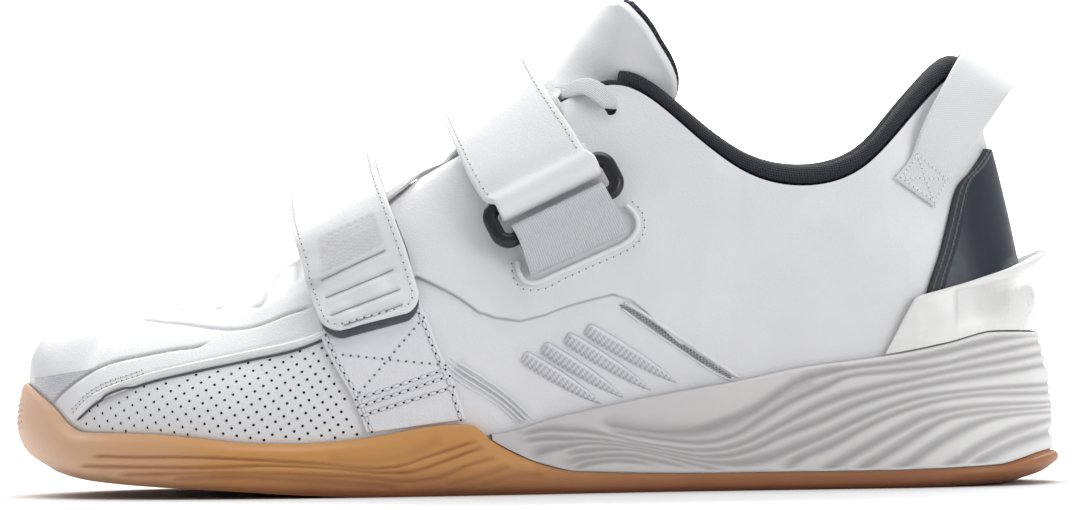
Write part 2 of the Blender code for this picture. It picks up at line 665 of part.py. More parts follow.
def ring_frame():
    """The ring's centre and its directions: along its long side, up the strap and outward."""
    (x0, z0), (x1, z1) = RING_ENDS
    first, second = side(x0, z0, RING_OUT)[0], side(x1, z1, RING_OUT)[0]
    centre = (first + second) / 2
    along = (second - first) / np.linalg.norm(second - first)
    middle = side((x0 + x1) / 2, (z0 + z1) / 2)[0]
    out = centre - middle
    out -= np.dot(out, along) * along
    out /= np.linalg.norm(out)
    up = np.cross(out, along)
    return centre, along, up * math.copysign(1, up[2]), out, np.linalg.norm(second - first) / 2


def make_ring(look):
    centre, along, up, _, half = ring_frame()
    corner = 3.6
    path = []
    for i, (a, b) in enumerate([(1, 1), (-1, 1), (-1, -1), (1, -1)]):
        middle = (centre + a * (half + 2.0 - corner) * along
                  + b * (RING_HALF_WIDTH - corner) * up)
        for k in range(4):
            turn = math.radians(90 * i + 30 * k)
            path.append(middle + corner * (math.cos(turn) * along + math.sin(turn) * up))
    tube("strap_ring", path, RING_BAR, look, closed=True)


def fold(bar, up, out, half, along, radius, back):
    """Rows of a band folded round a bar: up its outer face from the fold, back on the inside."""
    rows = [bar - radius * out + back * up]
    rows += [bar + radius * (math.cos(a) * -out - math.sin(a) * up)
             for a in np.radians([0, 45, 90, 135, 180])]
    return [(row - half * along, row + half * along) for row in rows]


def make_upper_strap(look):
    """From the fold round the ring's upper bar over the instep to the medial side."""
    centre, along, up, out, half = ring_frame()
    bar = centre + (RING_HALF_WIDTH) * up
    rows = fold(bar, up, out, half - 0.8, along, RING_BAR + 0.9 + STRAP / 2, 7)
    top = across_rows(rows + UPPER_STRAP_TOP)
    sewn = on_side(UPPER_STRAP_MEDIAL, 5, GAP + 0.2 + STRAP / 2, medial=True)
    ribbon("strap_upper", np.concatenate([top, sewn]), STRAP, look)


def ribbon(name, grid, thickness, look):
    """A band with the grid in the middle of its thickness."""
    facing = grid_normals(grid)
    sheet(name, grid + thickness / 2 * facing, grid - thickness / 2 * facing, look)


def make_webbing(look):
    """The elastic band from the slot round the ring's lower bar and back to the slot."""
    centre, along, up, out, half = ring_frame()
    bar = centre - RING_HALF_WIDTH * up
    radius = RING_BAR + 0.85 + WEBBING / 2
    first = side(*SLOT[0])[0]
    second = side(*SLOT[1])[0]
    rows = fold(bar, -up, out, half - 2.2, along, radius, 2)
    low = 0.4 + WEBBING / 2
    inner = (first + low * out, second + low * out)
    outer = (first + (low + WEBBING + 0.5) * out, second + (low + WEBBING + 0.5) * out)
    ribbon("ring_webbing", across_rows([inner, *rows, outer], 4), WEBBING, look)


def make_slot_rim(look):
    path = spline([side(x, z, 1.15)[0] for x, z in SLOT_RIM], 14)
    tube("webbing_rim", path, 0.8, look)


def over_tongue(row, column):
    """A point on the tongue's outside between two of its rows, and the direction away from it."""
    grid = tongue_sections()
    facing = grid_normals(grid)
    low, share = int(row), row % 1
    point, away = (values[low, column] * (1 - share) + values[low + 1, column] * share
                   for values in (grid, facing))
    return point, math.copysign(1, away[2]) * away / np.linalg.norm(away)


def crest(t):
    """The middle of the tongue's outside at place t of the throat."""
    dome = float(smooth(sorted(THROAT + [(6.6, 13.5)]), t))
    slope = last(t - 0.2, 1.0) - last(t + 0.2, 1.0)
    up = np.array([-slope[2], 0, slope[0]]) / math.hypot(slope[0], slope[2])
    return (last(t, 1.0) + last(ROUND - t, 1.0)) / 2 + dome * up, up


def make_laces(look):
    """The crossings over the tongue, joined where they meet at the eyelets."""
    bars = []
    for low, high in zip(EYELETS[:-1], EYELETS[1:]):
        top = high == EYELETS[-1]
        target = TOP_CROSSING if top else (low + high) / 2
        middle, up = crest(target)
        for hand in (1, -1):
            ends = []
            for t, at in ((low, hand), (high, -hand)):
                over = t + 0.3 * (target - t)
                place, edge = (t, over) if at > 0 else (ROUND - t, ROUND - over)
                ends.append([(last(place, EYELET_V), outward(place, EYELET_V), 2.7),
                             (last(edge, 0.985), outward(edge, 0.985), 4.0)])
                if top:
                    ends[-1].append((*over_tongue(6.1 if t == low else 6.35, 4 - 2 * at), 4.2))
            route = [*ends[0], (middle, up, 3.6), *ends[1][::-1]]
            path = np.array([point + out * away for point, away, out in route])
            ahead = np.gradient(path, axis=0)
            wide = np.cross(ahead, [away for _, away, _ in route])
            wide /= np.linalg.norm(wide, axis=1, keepdims=True)
            grid = np.stack([path - wide * LACE_WIDTH / 2, path + wide * LACE_WIDTH / 2], 1)
            ribbon(f"lace_bar_{len(bars)}", grid, LACE_THICK, look)
            bars.append(bpy.data.objects[f"lace_bar_{len(bars)}"])
    made = bars[0]
    made.name = "laces"
    for bar in bars[1:]:
        bar.hide_render = True
        bar.display_type = "WIRE"
        joined = made.modifiers.new(bar.name, "BOOLEAN")
        joined.operation = "UNION"
        joined.solver = "EXACT"
        joined.object = bar


def make_ribs(look):
    """The raised bars of the side, on both sides."""
    for medial in (False, True):
        for number, (x0, z0, x1, z1) in enumerate(RIBS):
            share = np.array([0, 0.06, 0.3, 0.65, 1])
            width = RIB_WIDTH * np.array([0.35, 0.9, 1, 0.8, 0.4]) / 2
            height = RIB_HEIGHT * np.array([0.2, 0.9, 1, 0.7, 0.25])
            long = math.hypot(x1 - x0, z1 - z0)
            nx, nz = -(z1 - z0) / long, (x1 - x0) / long
            sections = []
            for f, w, h in zip(share, width, height):
                x, z = x0 + f * (x1 - x0), z0 + f * (z1 - z0)
                base = [side(x + k * w * nx, z + k * w * nz, GAP, medial)[0] for k in (-1, 1)]
                over = [side(x + k * w * nx, z + k * w * nz, GAP + h, medial)[0]
                        for k in (0.5, -0.5)]
                sections.append([*base, *over])
            loft(f"side_rib_{'medial' if medial else 'lateral'}_{number + 1}", sections, look)


def make_counter(look):
    """The dark panel round the back of the heel."""
    found = locate([x for x, _ in COUNTER], [z for _, z in COUNTER])
    share = np.linspace(-1, 1, 13)
    grid = np.array([skin(share * t % ROUND, np.full(13, v), GAP + 0.2) for t, v in found])
    thick("heel_counter", grid, OVERLAY, look, (100, 0, 70))


def make_clip(look):
    """The stiff cup round the heel above the midsole, its rim flared to the back."""
    outer, inner = [], []
    for t in [-stop for stop in CLIP_STOPS[:0:-1]] + list(CLIP_STOPS):
        back = max(0.0, 1 - (t / 1.35) ** 2) ** 1.3
        top = float(smooth(CLIP_TOP, min(abs(t), CLIP_STOPS[-2])))
        low = float(smooth(RIM, ring(t)[0])) + 0.5
        near = 0
        if abs(t) > CLIP_STOPS[-2]:
            top = low + 1.6
            near = 1.2
        columns = [[], []]
        for share, lean, thin in ((0, 4.6, 1.9), (0.3, 5.0, 1.9), (0.62, 3.8, 1.9),
                                  (0.84, 7.6, 3.4), (1, 9.8, 7.0)):
            z = low + share * (top - low)
            v = float(np.interp(z, last(t, V_STEPS)[:, 2], V_STEPS))
            side_out, side_in = (3.4 - near, 1.9 - near) if share < 1 else (3.1 - near, 2.0 - near)
            columns[0].append(skin(t, v, side_out + back * (lean - side_out)))
            columns[1].append(skin(t, v, side_in + back * (thin - side_in)))
            for column in columns:
                column[-1][2] = z
        outer.append(columns[0])
        inner.append(columns[1])
    sheet("heel_clip", np.array(outer), np.array(inner), look)


V_STEPS = np.linspace(0, 1, 41)

# The heel loop: its two edges, from the patch sewn on the lateral side to the top of the arch
LOOP_SEWN = [(103, 88, 114.4, 79.5), (107.3, 93.2, 118.6, 87.0)]
LOOP_ARCH = [((111.5, -27.0, 102.5), (124.2, -19.3, 94.5)),
             ((117.8, -21.0, 114.2), (131.6, -12.5, 104.5)),
             ((122.6, -10.5, 122.3), (137.0, -6.8, 111.6)),
             ((124.4, 0, 124.2), (138.8, 0, 113.6))]
LOOP_THICK = 1.5


def make_pull_loop(look):
    sewn = on_side(LOOP_SEWN, 4, GAP + 0.2 + LOOP_THICK / 2)
    arch = across_rows(LOOP_ARCH, 4)
    half = np.concatenate([sewn, arch])
    flip = np.array([1, -1, 1])
    other = half[-2::-1] * flip
    other[-2:] = on_side(LOOP_SEWN[::-1], 4, GAP + 0.2 + LOOP_THICK / 2, medial=True)
    ribbon("pull_loop", np.concatenate([half, other]), LOOP_THICK, look)


def main():
    for old in list(bpy.data.objects):
        bpy.data.objects.remove(old)
    white = material("white synthetic leather", (0.80, 0.80, 0.82), 0.42)
    knit = material("dark collar knit", (0.014, 0.017, 0.028), 0.9)
    strap = material("white strap", (0.80, 0.80, 0.82), 0.5)
    tape = material("white woven tape", (0.78, 0.79, 0.81), 0.75)
    make_sole()
    make_insole()
    make_upper(white)
    make_tongue()
    make_collar(knit)
    make_strap_base(white)
    make_lower_strap(strap)
    make_ring(material("black plastic", (0.02, 0.02, 0.022), 0.35))
    make_upper_strap(strap)
    make_webbing(material("elastic webbing", (0.66, 0.67, 0.69), 0.7))
    make_slot_rim(white)
    make_laces(tape)
    make_ribs(material("white rib", (0.74, 0.75, 0.77), 0.6))
    make_counter(material("dark heel panel", (0.018, 0.026, 0.042), 0.4))
    make_clip(material("white clip", (0.82, 0.82, 0.80), 0.3))
    make_pull_loop(tape)


main()
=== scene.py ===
"""The looks of a weightlifting shoe for the left foot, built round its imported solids.

Toe to -X, lateral side to -Y, up +Z. Lengths are millimetres until a mesh is made. The tables and
the functions of the last repeat those of the part's source. A line on the side is a list of x, z in
side view, and is laid on the last.
"""

import math
from collections import namedtuple

import bpy
import numpy as np
from mathutils import Matrix, Vector


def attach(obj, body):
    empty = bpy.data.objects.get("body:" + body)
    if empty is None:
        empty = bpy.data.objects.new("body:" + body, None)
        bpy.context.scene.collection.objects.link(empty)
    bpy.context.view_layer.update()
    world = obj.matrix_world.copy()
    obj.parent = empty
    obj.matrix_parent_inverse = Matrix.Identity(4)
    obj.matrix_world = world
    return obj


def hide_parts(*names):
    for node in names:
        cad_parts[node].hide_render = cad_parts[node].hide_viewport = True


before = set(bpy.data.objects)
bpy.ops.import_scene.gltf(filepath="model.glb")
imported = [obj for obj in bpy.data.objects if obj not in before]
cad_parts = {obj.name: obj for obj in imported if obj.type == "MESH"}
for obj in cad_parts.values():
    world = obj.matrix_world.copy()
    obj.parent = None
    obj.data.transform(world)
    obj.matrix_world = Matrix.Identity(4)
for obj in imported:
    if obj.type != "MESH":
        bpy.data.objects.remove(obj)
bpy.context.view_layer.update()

MM = 0.001
GAP = 0.3
CUP = 0.45
WALL = 2.5
OVERLAY = 0.9

# The upper, one row for each place round the last, from the heel back to the toe tip. The foot of
# the wall is at xl, yl on the lateral side and xm, ym on the medial side. Its top edge is at tx and
# tz, tyl and tym to the sides: collar, throat, and from the row "ball" on the ridge of the vamp.
# up and out lift the wall from its foot; hx, hy and hz are its slope at the top.
Place = namedtuple("Place", "name xl yl xm ym tx tyl tym tz up out hx hy hz")
LAST = [
    Place("heel back", 140.3, 0, 140.3, 0, 125.5, 0, 0, 117.5, 14, 0.8, 5.5, 0, -20),
    Place("heel corner", 134, -20.5, 133, 20, 119.5, -12, 12, 116.2, 16, 1, 3.5, 5, -20),
    Place("heel side", 113.5, -32.5, 111.5, 31.5, 104.5, -26.5, 26, 101, 18, 1.5, 1, 3.5, -18),
    Place("ankle back", 88, -35, 87, 33, 88.5, -32, 31.5, 88.4, 15, 1.5, 0, 2.5, -15),
    Place("ankle", 62.5, -35.7, 62, 33, 66, -33, 32, 88.4, 15, 1.5, -0.5, 3, -15),
    Place("shaft", 38, -37, 37.5, 34, 45.5, -29, 28.5, 102, 22, 2, -1, 6, -20),
    Place("corner", 14, -40.5, 13.5, 37, 27, -22.5, 22.5, 115.2, 26, 2, -3, 10, -22),
    Place("instep", -10, -45, -10.5, 41.5, 7.4, -19.5, 20, 110, 28, 2, -6, 12, -14),
    Place("midfoot", -34.5, -49.3, -35, 46.8, -18, -17, 19, 97, 26, 2, -8, 14, -10),
    Place("strap", -58.5, -51.3, -59, 49.7, -43, -13.5, 17.5, 82.3, 22, 2.5, -7, 15, -7),
    Place("ball", -82, -50, -83, 48.8, -69, 2.5, 2.5, 65.5, 18, 2.5, -5, 22, -2),
    Place("fore", -105, -44, -106, 44.3, -88, 3.3, 3.3, 58.2, 15, 2, -4, 22, -0.9),
    Place("toe side", -124.5, -33.5, -126, 36.5, -104, 4, 4, 54.9, 14, 1.5, -6, 18, -0.9),
    Place("toe corner", -138, -17.5, -139, 23.5, -114, 4.7, 4.7, 53.4, 14, 1, -11, 11, -1),
    Place("toe tip", -146, 4, -146, 4, -120, 5, 5, 52.8, 13, 1, -16, 0, -1.2),
]
TIP = len(LAST) - 1
BALL = 10
ROUND = 2 * TIP

# Heights along the shoe, x and z: the sole's top edge, the gum's top edge, the floor that the foot
# lies on, the gum's own floor, and its underside with the toe spring.
RIM = [(-150, 34), (-147, 33), (-141.3, 29), (-137.6, 26), (-132.8, 20.9), (-128.5, 19),
       (-111.3, 18.6), (-96.8, 17.4), (-82.4, 15.8), (-68, 15.4), (-59.4, 15.8), (-45, 17.3),
       (-33.4, 19.4), (-24.8, 20.2), (-19, 20), (-13.3, 17.3), (6.9, 22), (30, 26.6),
       (58.9, 31.4), (76.3, 34.8), (99.3, 37.6), (116.7, 40.9), (129.7, 43.9), (145, 43)]
GUM_TOP = RIM[:15] + [(-13.3, 15.4), (-7.6, 12), (1, 8.3), (11, 6.1), (47, 5), (96, 5),
                      (127.7, 5.9), (140, 9.6), (150, 9.9)]
BED = [(-150, 20.5), (-135, 14.5), (-110, 10.8), (-80, 9.6), (-40, 10.6), (0, 15), (40, 22.5),
       (70, 27), (100, 29), (145, 30)]
GUM_BED = [(-17, 12.7), (-15.2, 11.5), (14, 4.4), (150, 4.4)]
BOTTOM = [(-152, 18), (-146, 11.5), (-140, 7.8), (-126, 4.9), (-85, 2), (-60, 0.5), (-40, 0),
          (100, 0), (125, 0.4), (139, 1.1), (145, 2.7), (151, 8)]
FRONT_OF_MIDSOLE = -13.3

# The gum's side: how far it stands out from the foot of the upper, at the edge of the tread, at
# its shoulder, where it is widest and at its top edge, and how deep its inner wall is set.
Gum = namedtuple("Gum", "x edge shoulder shoulder_z wide wide_z top inner")
GUM = [
    Gum(-146, -6.0, 1.4, 13.5, 3.7, 20.0, 1.5, CUP),
    Gum(-132, -1.5, 3.2, 9.2, 4.4, 14.0, 2.0, CUP),
    Gum(-110, 1.5, 4.0, 5.4, 4.6, 10.5, 2.2, CUP),
    Gum(-75, 2.2, 4.3, 3.6, 4.7, 9.0, 2.3, CUP),
    Gum(-40, 2.6, 4.8, 2.5, 5.4, 9.0, 2.8, CUP),
    Gum(-17, 3.0, 5.8, 2.5, 6.8, 9.0, 4.2, CUP),
    Gum(0, 3.8, 6.2, 2.3, 6.6, 5.5, 5.4, 3.6),
    Gum(14, 4.0, 6.2, 2.0, 6.5, 4.0, 5.7, 4.9),
    Gum(100, 3.5, 6.2, 1.8, 6.6, 3.5, 6.0, 5.0),
    Gum(130, 1.0, 6.5, 2.6, 8.6, 5.0, 7.4, 5.8),
    Gum(140, -1.5, 7.2, 4.6, 9.9, 7.6, 7.8, 6.6),
]

# The midsole's side above the gum: how far it stands out at its lower edge, halfway and at its rim
Mid = namedtuple("Mid", "x low half rim")
MID = [
    Mid(-15, 4.2, 4.2, 3.8),
    Mid(0, 5.4, 5.6, 4.0),
    Mid(40, 5.6, 6.2, 3.6),
    Mid(100, 5.8, 6.4, 3.8),
    Mid(130, 7.4, 8.2, 4.6),
    Mid(141, 8.6, 9.4, 5.0),
]

# The step round the upper, in side view: the piping over the side of the forefoot, then the lower
# edge of the smooth quarter. The wall above it is thicker by OVERLAY.
STEP = [(-131.3, 22.5), (-125.5, 27.4), (-111, 32.9), (-96.6, 36.2), (-82, 39.1), (-67.7, 42.1),
        (-55, 47), (-44, 57), (-33.7, 62.1), (-27.1, 59.1), (-15.7, 51.7), (-9.9, 50.2),
        (-4.2, 49.3), (3, 50.9), (16.1, 55), (22.4, 56.4), (27.6, 54.6), (32, 51), (56, 32.5)]

# The tongue, a row for each place of the throat: how high its crest stands over the line between
# the throat's edges, then the free end, with its crest, its side and its edge.
THROAT = [(10.25, -3.8), (9.85, -3.2), (9.4, -2.2), (8.9, -2.4), (8.3, -2), (7.7, 0.5), (7.1, 7)]
FREE_END = [
    ((10.5, 0.5, 125), (19.5, 14.6, 117), (36, 17.2, 104)),
    ((15, 0.5, 131), (23.5, 17.0, 124.5), (41.5, 18.6, 113)),
    ((18.8, 0.5, 136), (24.5, 18.5, 132.4), (35.5, 24.5, 127)),
    ((21.6, 0.5, 139.6), (23.4, 14.5, 139.6), (27.6, 25.5, 139)),
]


def smooth(table, x, column=1):
    """The table's column at x, on a curve that doesn't overshoot between two rows."""
    rows = np.array([[row[0], row[column]] for row in table], float)
    steps = np.diff(rows, axis=0)
    slope = steps[:, 1] / steps[:, 0]
    inside = np.where(slope[1:] * slope[:-1] > 0,
                      2 * slope[1:] * slope[:-1] / (slope[1:] + slope[:-1] + 1e-12), 0)
    tangent = np.concatenate([slope[:1], inside, slope[-1:]])
    x = np.clip(x, rows[0, 0], rows[-1, 0])
    i = np.clip(np.searchsorted(rows[:, 0], x) - 1, 0, len(rows) - 2)
    width = rows[i + 1, 0] - rows[i, 0]
    u = (x - rows[i, 0]) / width
    return (rows[i, 1] * (1 + 2 * u) * (1 - u) ** 2 + rows[i + 1, 1] * u * u * (3 - 2 * u)
            + tangent[i] * width * u * (1 - u) ** 2 - tangent[i + 1] * width * u * u * (1 - u))


def ring_rows():
    """The last's rows all the way round, the medial side mirrored back to the heel."""
    def row(place, medial):
        x, y, ty, side = ((place.xm, place.ym, place.tym, 1) if medial
                          else (place.xl, place.yl, place.tyl, -1))
        return (x, y, place.tx, ty, place.tz, place.up, place.out,
                place.hx, side * place.hy, place.hz)

    lateral = [row(place, False) for place in LAST]
    return np.array(lateral + [row(place, True) for place in LAST[TIP - 1:0:-1]], float)


RING = ring_rows()
LOOP = 4 * np.eye(ROUND) + np.roll(np.eye(ROUND), 1, 1) + np.roll(np.eye(ROUND), -1, 1)
SLOPE = np.linalg.solve(LOOP, 3 * (np.roll(RING, -1, 0) - np.roll(RING, 1, 0)))


def ring(t):
    """The last's columns at place t, counted in rows round the ring."""
    t = np.mod(t, ROUND)
    i = np.minimum(np.floor(t).astype(int), ROUND - 1)
    u = (t - i)[..., None]
    after = (i + 1) % ROUND
    return (RING[i] * (1 + 2 * u) * (1 - u) ** 2 + RING[after] * u * u * (3 - 2 * u)
            + SLOPE[i] * u * (1 - u) ** 2 - SLOPE[after] * u * u * (1 - u))


def outline(t, out=0.0):
    """The foot of the upper in plan, moved out by so many millimetres."""
    t = np.asarray(t, float)
    along = ring(t + 0.01)[..., :2] - ring(t - 0.01)[..., :2]
    away = np.stack([along[..., 1], -along[..., 0]], -1) * -1
    away /= np.linalg.norm(away, axis=-1, keepdims=True)
    return ring(t)[..., :2] + away * np.asarray(out)[..., None]


def last(t, v):
    """A point of the upper's outside: v is -1 at the foot, 0 at the sole's rim and 1 at the top."""
    t, v = np.broadcast_arrays(np.asarray(t, float), np.asarray(v, float))
    row = ring(t)
    ridge = (np.abs(np.mod(t, ROUND) - TIP) <= TIP - BALL)[..., None]
    top = np.where(ridge, (row[..., 2:5] + ring(ROUND - t)[..., 2:5]) / 2, row[..., 2:5])
    foot = row[..., :2]
    rim = smooth(RIM, foot[..., 0])
    floor = smooth(BED, foot[..., 0]) + 0.4
    lean = outline(t, row[..., 6])
    start = np.concatenate([foot, rim[..., None]], -1)
    second = np.concatenate([lean, (rim + row[..., 5])[..., None]], -1)
    third = top + row[..., 7:10]
    u = np.clip(v, 0, 1)[..., None]
    wall = (start * (1 - u) ** 3 + 3 * second * u * (1 - u) ** 2
            + 3 * third * u * u * (1 - u) + top * u ** 3)
    band = np.concatenate([foot, (rim + v * (rim - floor))[..., None]], -1)
    return np.where(v[..., None] < 0, band, wall)


def outward(t, v):
    """The direction away from the foot, the same from both sides on the vamp's ridge."""
    t, v = np.broadcast_arrays(np.asarray(t, float), np.asarray(v, float))

    def normal(at):
        high = np.minimum(v + 0.015, 1)
        low = high - 0.03
        facing = np.cross(last(at, high) - last(at, low), last(at + 0.03, v) - last(at - 0.03, v))
        return facing / (np.linalg.norm(facing, axis=-1, keepdims=True) + 1e-12)

    here, there = normal(t), normal(ROUND - t)
    on_ridge = ((np.abs(np.mod(t, ROUND) - TIP) <= TIP - BALL) & (v > 0.999))[..., None]
    both = here + there
    both /= np.linalg.norm(both, axis=-1, keepdims=True) + 1e-12
    return np.where(on_ridge, both, here)


def locate(xz):
    """Where the lateral side shows each x, z of the side view, as rows of t and v."""
    xz = np.atleast_2d(np.array(xz, float))
    ridge = last(np.linspace(BALL, TIP, 60), 1.0)
    under = np.interp(-xz[:, 0], -ridge[:, 0], ridge[:, 2] - 0.5)
    xz[:, 1] = np.where(xz[:, 0] < ridge[0, 0], np.minimum(xz[:, 1], under), xz[:, 1])
    places, heights = np.meshgrid(np.linspace(0, TIP, 141), np.linspace(0, 1, 61), indexing="ij")
    grid = last(places, heights)[..., [0, 2]].reshape(-1, 2)
    starts = np.stack([places.ravel(), heights.ravel()], 1)
    at = np.array([starts[((grid - point) ** 2).sum(1).argmin()] for point in xz])
    for _ in range(14):
        here = last(at[:, 0], at[:, 1])[:, [0, 2]]
        by_t = (last(at[:, 0] + 0.01, at[:, 1])[:, [0, 2]] - here) / 0.01
        by_v = (last(at[:, 0], at[:, 1] - 0.01)[:, [0, 2]] - here) / -0.01
        miss = xz - here
        area = by_t[:, 0] * by_v[:, 1] - by_t[:, 1] * by_v[:, 0]
        area = np.where(np.abs(area) < 1, np.copysign(1, area), area)
        move = np.stack([miss[:, 0] * by_v[:, 1] - miss[:, 1] * by_v[:, 0],
                         by_t[:, 0] * miss[:, 1] - by_t[:, 1] * miss[:, 0]], 1) / area[:, None]
        at = np.clip(at + np.clip(move, -0.3, 0.3), [0, 0], [TIP, 1])
    return at


def lengths(points):
    return np.concatenate([[0], np.cumsum(np.linalg.norm(np.diff(points, axis=0), axis=1))])


def curve(points, count):
    """count points on a smooth curve through the given ones, in any number of dimensions."""
    points = np.asarray(points, float)
    if len(points) == 2:
        return points[0] + np.linspace(0, 1, count)[:, None] * (points[1] - points[0])
    chord = lengths(points) + np.arange(len(points)) * 1e-6
    tangent = np.gradient(points, chord, axis=0)
    at = np.linspace(0, chord[-1], count)
    i = np.clip(np.searchsorted(chord, at, side="right") - 1, 0, len(chord) - 2)
    width = (chord[i + 1] - chord[i])[:, None]
    u = (at - chord[i])[:, None] / width
    return (points[i] * (1 + 2 * u) * (1 - u) ** 2 + points[i + 1] * u * u * (3 - 2 * u)
            + tangent[i] * width * u * (1 - u) ** 2 - tangent[i + 1] * width * u * u * (1 - u))


def evenly(points, spacing):
    """Points along a line at an even spacing, as near to the one asked for as its length allows."""
    chord = lengths(points)
    at = np.linspace(0, chord[-1], max(2, int(round(chord[-1] / spacing)) + 1))
    return np.stack([np.interp(at, chord, points[:, k]) for k in range(points.shape[1])], 1)


def unit(vectors):
    return vectors / (np.linalg.norm(vectors, axis=-1, keepdims=True) + 1e-12)


def ease(x):
    x = np.clip(x, 0, 1)
    return x * x * (3 - 2 * x)


STEP_AT = locate(STEP)
STEP_AT = STEP_AT[np.argsort(STEP_AT[:, 0])]
ROUND_STOPS = np.linspace(0, ROUND, 113)
HEIGHT = np.array([lengths(last(t, np.linspace(0, 1, 40)))[-1] for t in ROUND_STOPS])


def folded(t):
    t = np.mod(t, ROUND)
    return np.minimum(t, ROUND - t)


def step_v(t):
    return np.maximum(np.interp(folded(t), STEP_AT[:, 0], STEP_AT[:, 1], 0, 0), 0.03)


PIPING = 0.25
PIPED_FROM = 9.35


def relief(t, v):
    """How far the wall stands out of the last: the layer above the step and the piping on its edge."""
    at = folded(t)
    near = np.clip((at - STEP_AT[0, 0]) / 0.4, 0, 1) * np.clip((STEP_AT[-1, 0] + 0.3 - at) / 0.4, 0, 1)
    up = (v - step_v(t)) * np.interp(np.mod(t, ROUND), ROUND_STOPS, HEIGHT)
    piped = ease((at - PIPED_FROM) / 0.3) * near
    face = OVERLAY * np.clip(near, 0.1, 1) * ease(up / 0.45 + 0.2)
    bead = PIPING * piped * np.exp(-((up - 0.95) / 0.75) ** 2)
    groove = 0.3 * piped * np.exp(-((up - 3.0) / 0.5) ** 2)
    return face + bead - groove


def skin(t, v, out=0.0):
    """The upper's outside with its step, moved out by so many millimetres."""
    return last(t, v) + outward(t, v) * np.asarray(relief(t, v) + out)[..., None]


def trace(xz, medial=False, out=0.0, spacing=0.6, flat=False):
    """A line of the side view laid on the upper: its points and the directions away from the foot."""
    at = locate(curve(xz, max(12, 3 * len(xz))))
    at = curve(at, 60)
    t, v = (ROUND - at[:, 0] if medial else at[:, 0]), np.clip(at[:, 1], 0, 1)
    points = last(t, v) + out * outward(t, v) if flat else skin(t, v, out)
    chord = lengths(points)
    fine = np.linspace(0, chord[-1], max(3, int(chord[-1] / spacing)))
    t, v = np.interp(fine, chord, t), np.interp(fine, chord, v)
    points = last(t, v) + out * outward(t, v) if flat else skin(t, v, out)
    return points, outward(t, v)


def side(x, z, out=0.0, medial=False):
    """The points that the side view shows at x, z, on either side of the shoe."""
    at = locate(np.stack(np.broadcast_arrays(np.asarray(x, float), z), -1).reshape(-1, 2))
    return skin(ROUND - at[:, 0] if medial else at[:, 0], at[:, 1], out)


def near(points, line):
    """Each point's distance from a line, and how far along it the nearest place is, from 0 to 1."""
    start, leg = line[:-1], np.diff(line, axis=0)
    share = ((points[:, None] - start) * leg).sum(-1) / ((leg * leg).sum(-1) + 1e-9)
    share = np.clip(share, 0, 1)
    gap = np.linalg.norm(points[:, None] - start - share[..., None] * leg, axis=-1)
    best = gap.argmin(1)
    rows = np.arange(len(points))
    return gap[rows, best], (best + share[rows, best]) / len(leg)


def engrave(points, marks, fade=0.06):
    """How far lines push the points in or out, and how much shade is painted along them. A mark is a line, its
    width, its depth and its painted shade; a negative depth is a ridge."""
    flat = points.reshape(-1, points.shape[-1])
    push, dark = np.zeros(len(flat)), np.zeros(len(flat))
    for line, width, depth, shade in marks:
        reach = 3 * width
        close = np.where(((flat > line.min(0) - reach) & (flat < line.max(0) + reach)).all(1))[0]
        if not len(close):
            continue
        gap, share = near(flat[close], line)
        form = np.exp(-(gap / width) ** 2) * ease(share / fade) * ease((1 - share) / fade)
        push[close] -= depth * form
        dark[close] = np.maximum(dark[close], shade * form)
    return push.reshape(points.shape[:-1]), dark.reshape(points.shape[:-1])


def grid_normals(grid):
    return unit(np.cross(np.gradient(grid, axis=0), np.gradient(grid, axis=1)))


def grid_faces(rows, columns, first=0):
    at = first + np.arange(rows * columns).reshape(rows, columns)
    return np.stack([at[:-1, :-1], at[1:, :-1], at[1:, 1:], at[:-1, 1:]], -1).reshape(-1, 4)


def make(name, points, faces, looks, uv=None, shade=None, kinds=None, sharp=48):
    """One object from points in millimetres and faces of three or four corners. Points that coincide
    become one, each corner keeping its own place in the pattern, uv."""
    points, faces = points.reshape(-1, 3), np.asarray(faces)
    _, first, welded = np.unique(np.round(points * 400).astype(np.int64), axis=0,
                                 return_index=True, return_inverse=True)
    welded = welded.reshape(-1)
    at = points[faces]
    volume = np.einsum("ij,ij->", at[:, 0], np.cross(at[:, 1], at[:, 2]))
    if faces.shape[1] == 4:
        volume += np.einsum("ij,ij->", at[:, 0], np.cross(at[:, 2], at[:, 3]))
    if volume < 0:
        faces = faces[:, ::-1]
    kept, corners, numbers = [], [], []
    for number, (new, old) in enumerate(zip(welded[faces].tolist(), faces.tolist())):
        found = {}
        for a, b in zip(new, old):
            found.setdefault(a, b)
        if len(found) > 2:
            kept.append(list(found))
            corners.extend(found.values())
            numbers.append(number)
    mesh = bpy.data.meshes.new(name)
    mesh.from_pydata((points[first] * MM).tolist(), [], kept)
    mesh.polygons.foreach_set("use_smooth", np.ones(len(kept), bool))
    if uv is not None:
        layer = mesh.uv_layers.new(name="pattern")
        layer.data.foreach_set("uv", uv.reshape(-1, 2)[corners].ravel().astype(np.float32))
    if shade is not None:
        layer = mesh.attributes.new("shade", "FLOAT", "POINT")
        layer.data.foreach_set("value", shade.reshape(-1)[first].astype(np.float32))
    for look in looks if isinstance(looks, (list, tuple)) else [looks]:
        mesh.materials.append(look)
    if kinds is not None:
        mesh.polygons.foreach_set("material_index", np.asarray(kinds)[numbers].astype(np.int32))
    mesh.update()
    mesh.set_sharp_from_angle(angle=math.radians(sharp))
    made = bpy.data.objects.new(name, mesh)
    bpy.context.scene.collection.objects.link(made)
    return made


def piece(made, slot, *nodes):
    """Rides the object on the shoe's one body, in place of the solids it stands for."""
    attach(made, "root")
    if nodes:
        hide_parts(*nodes)
    return made


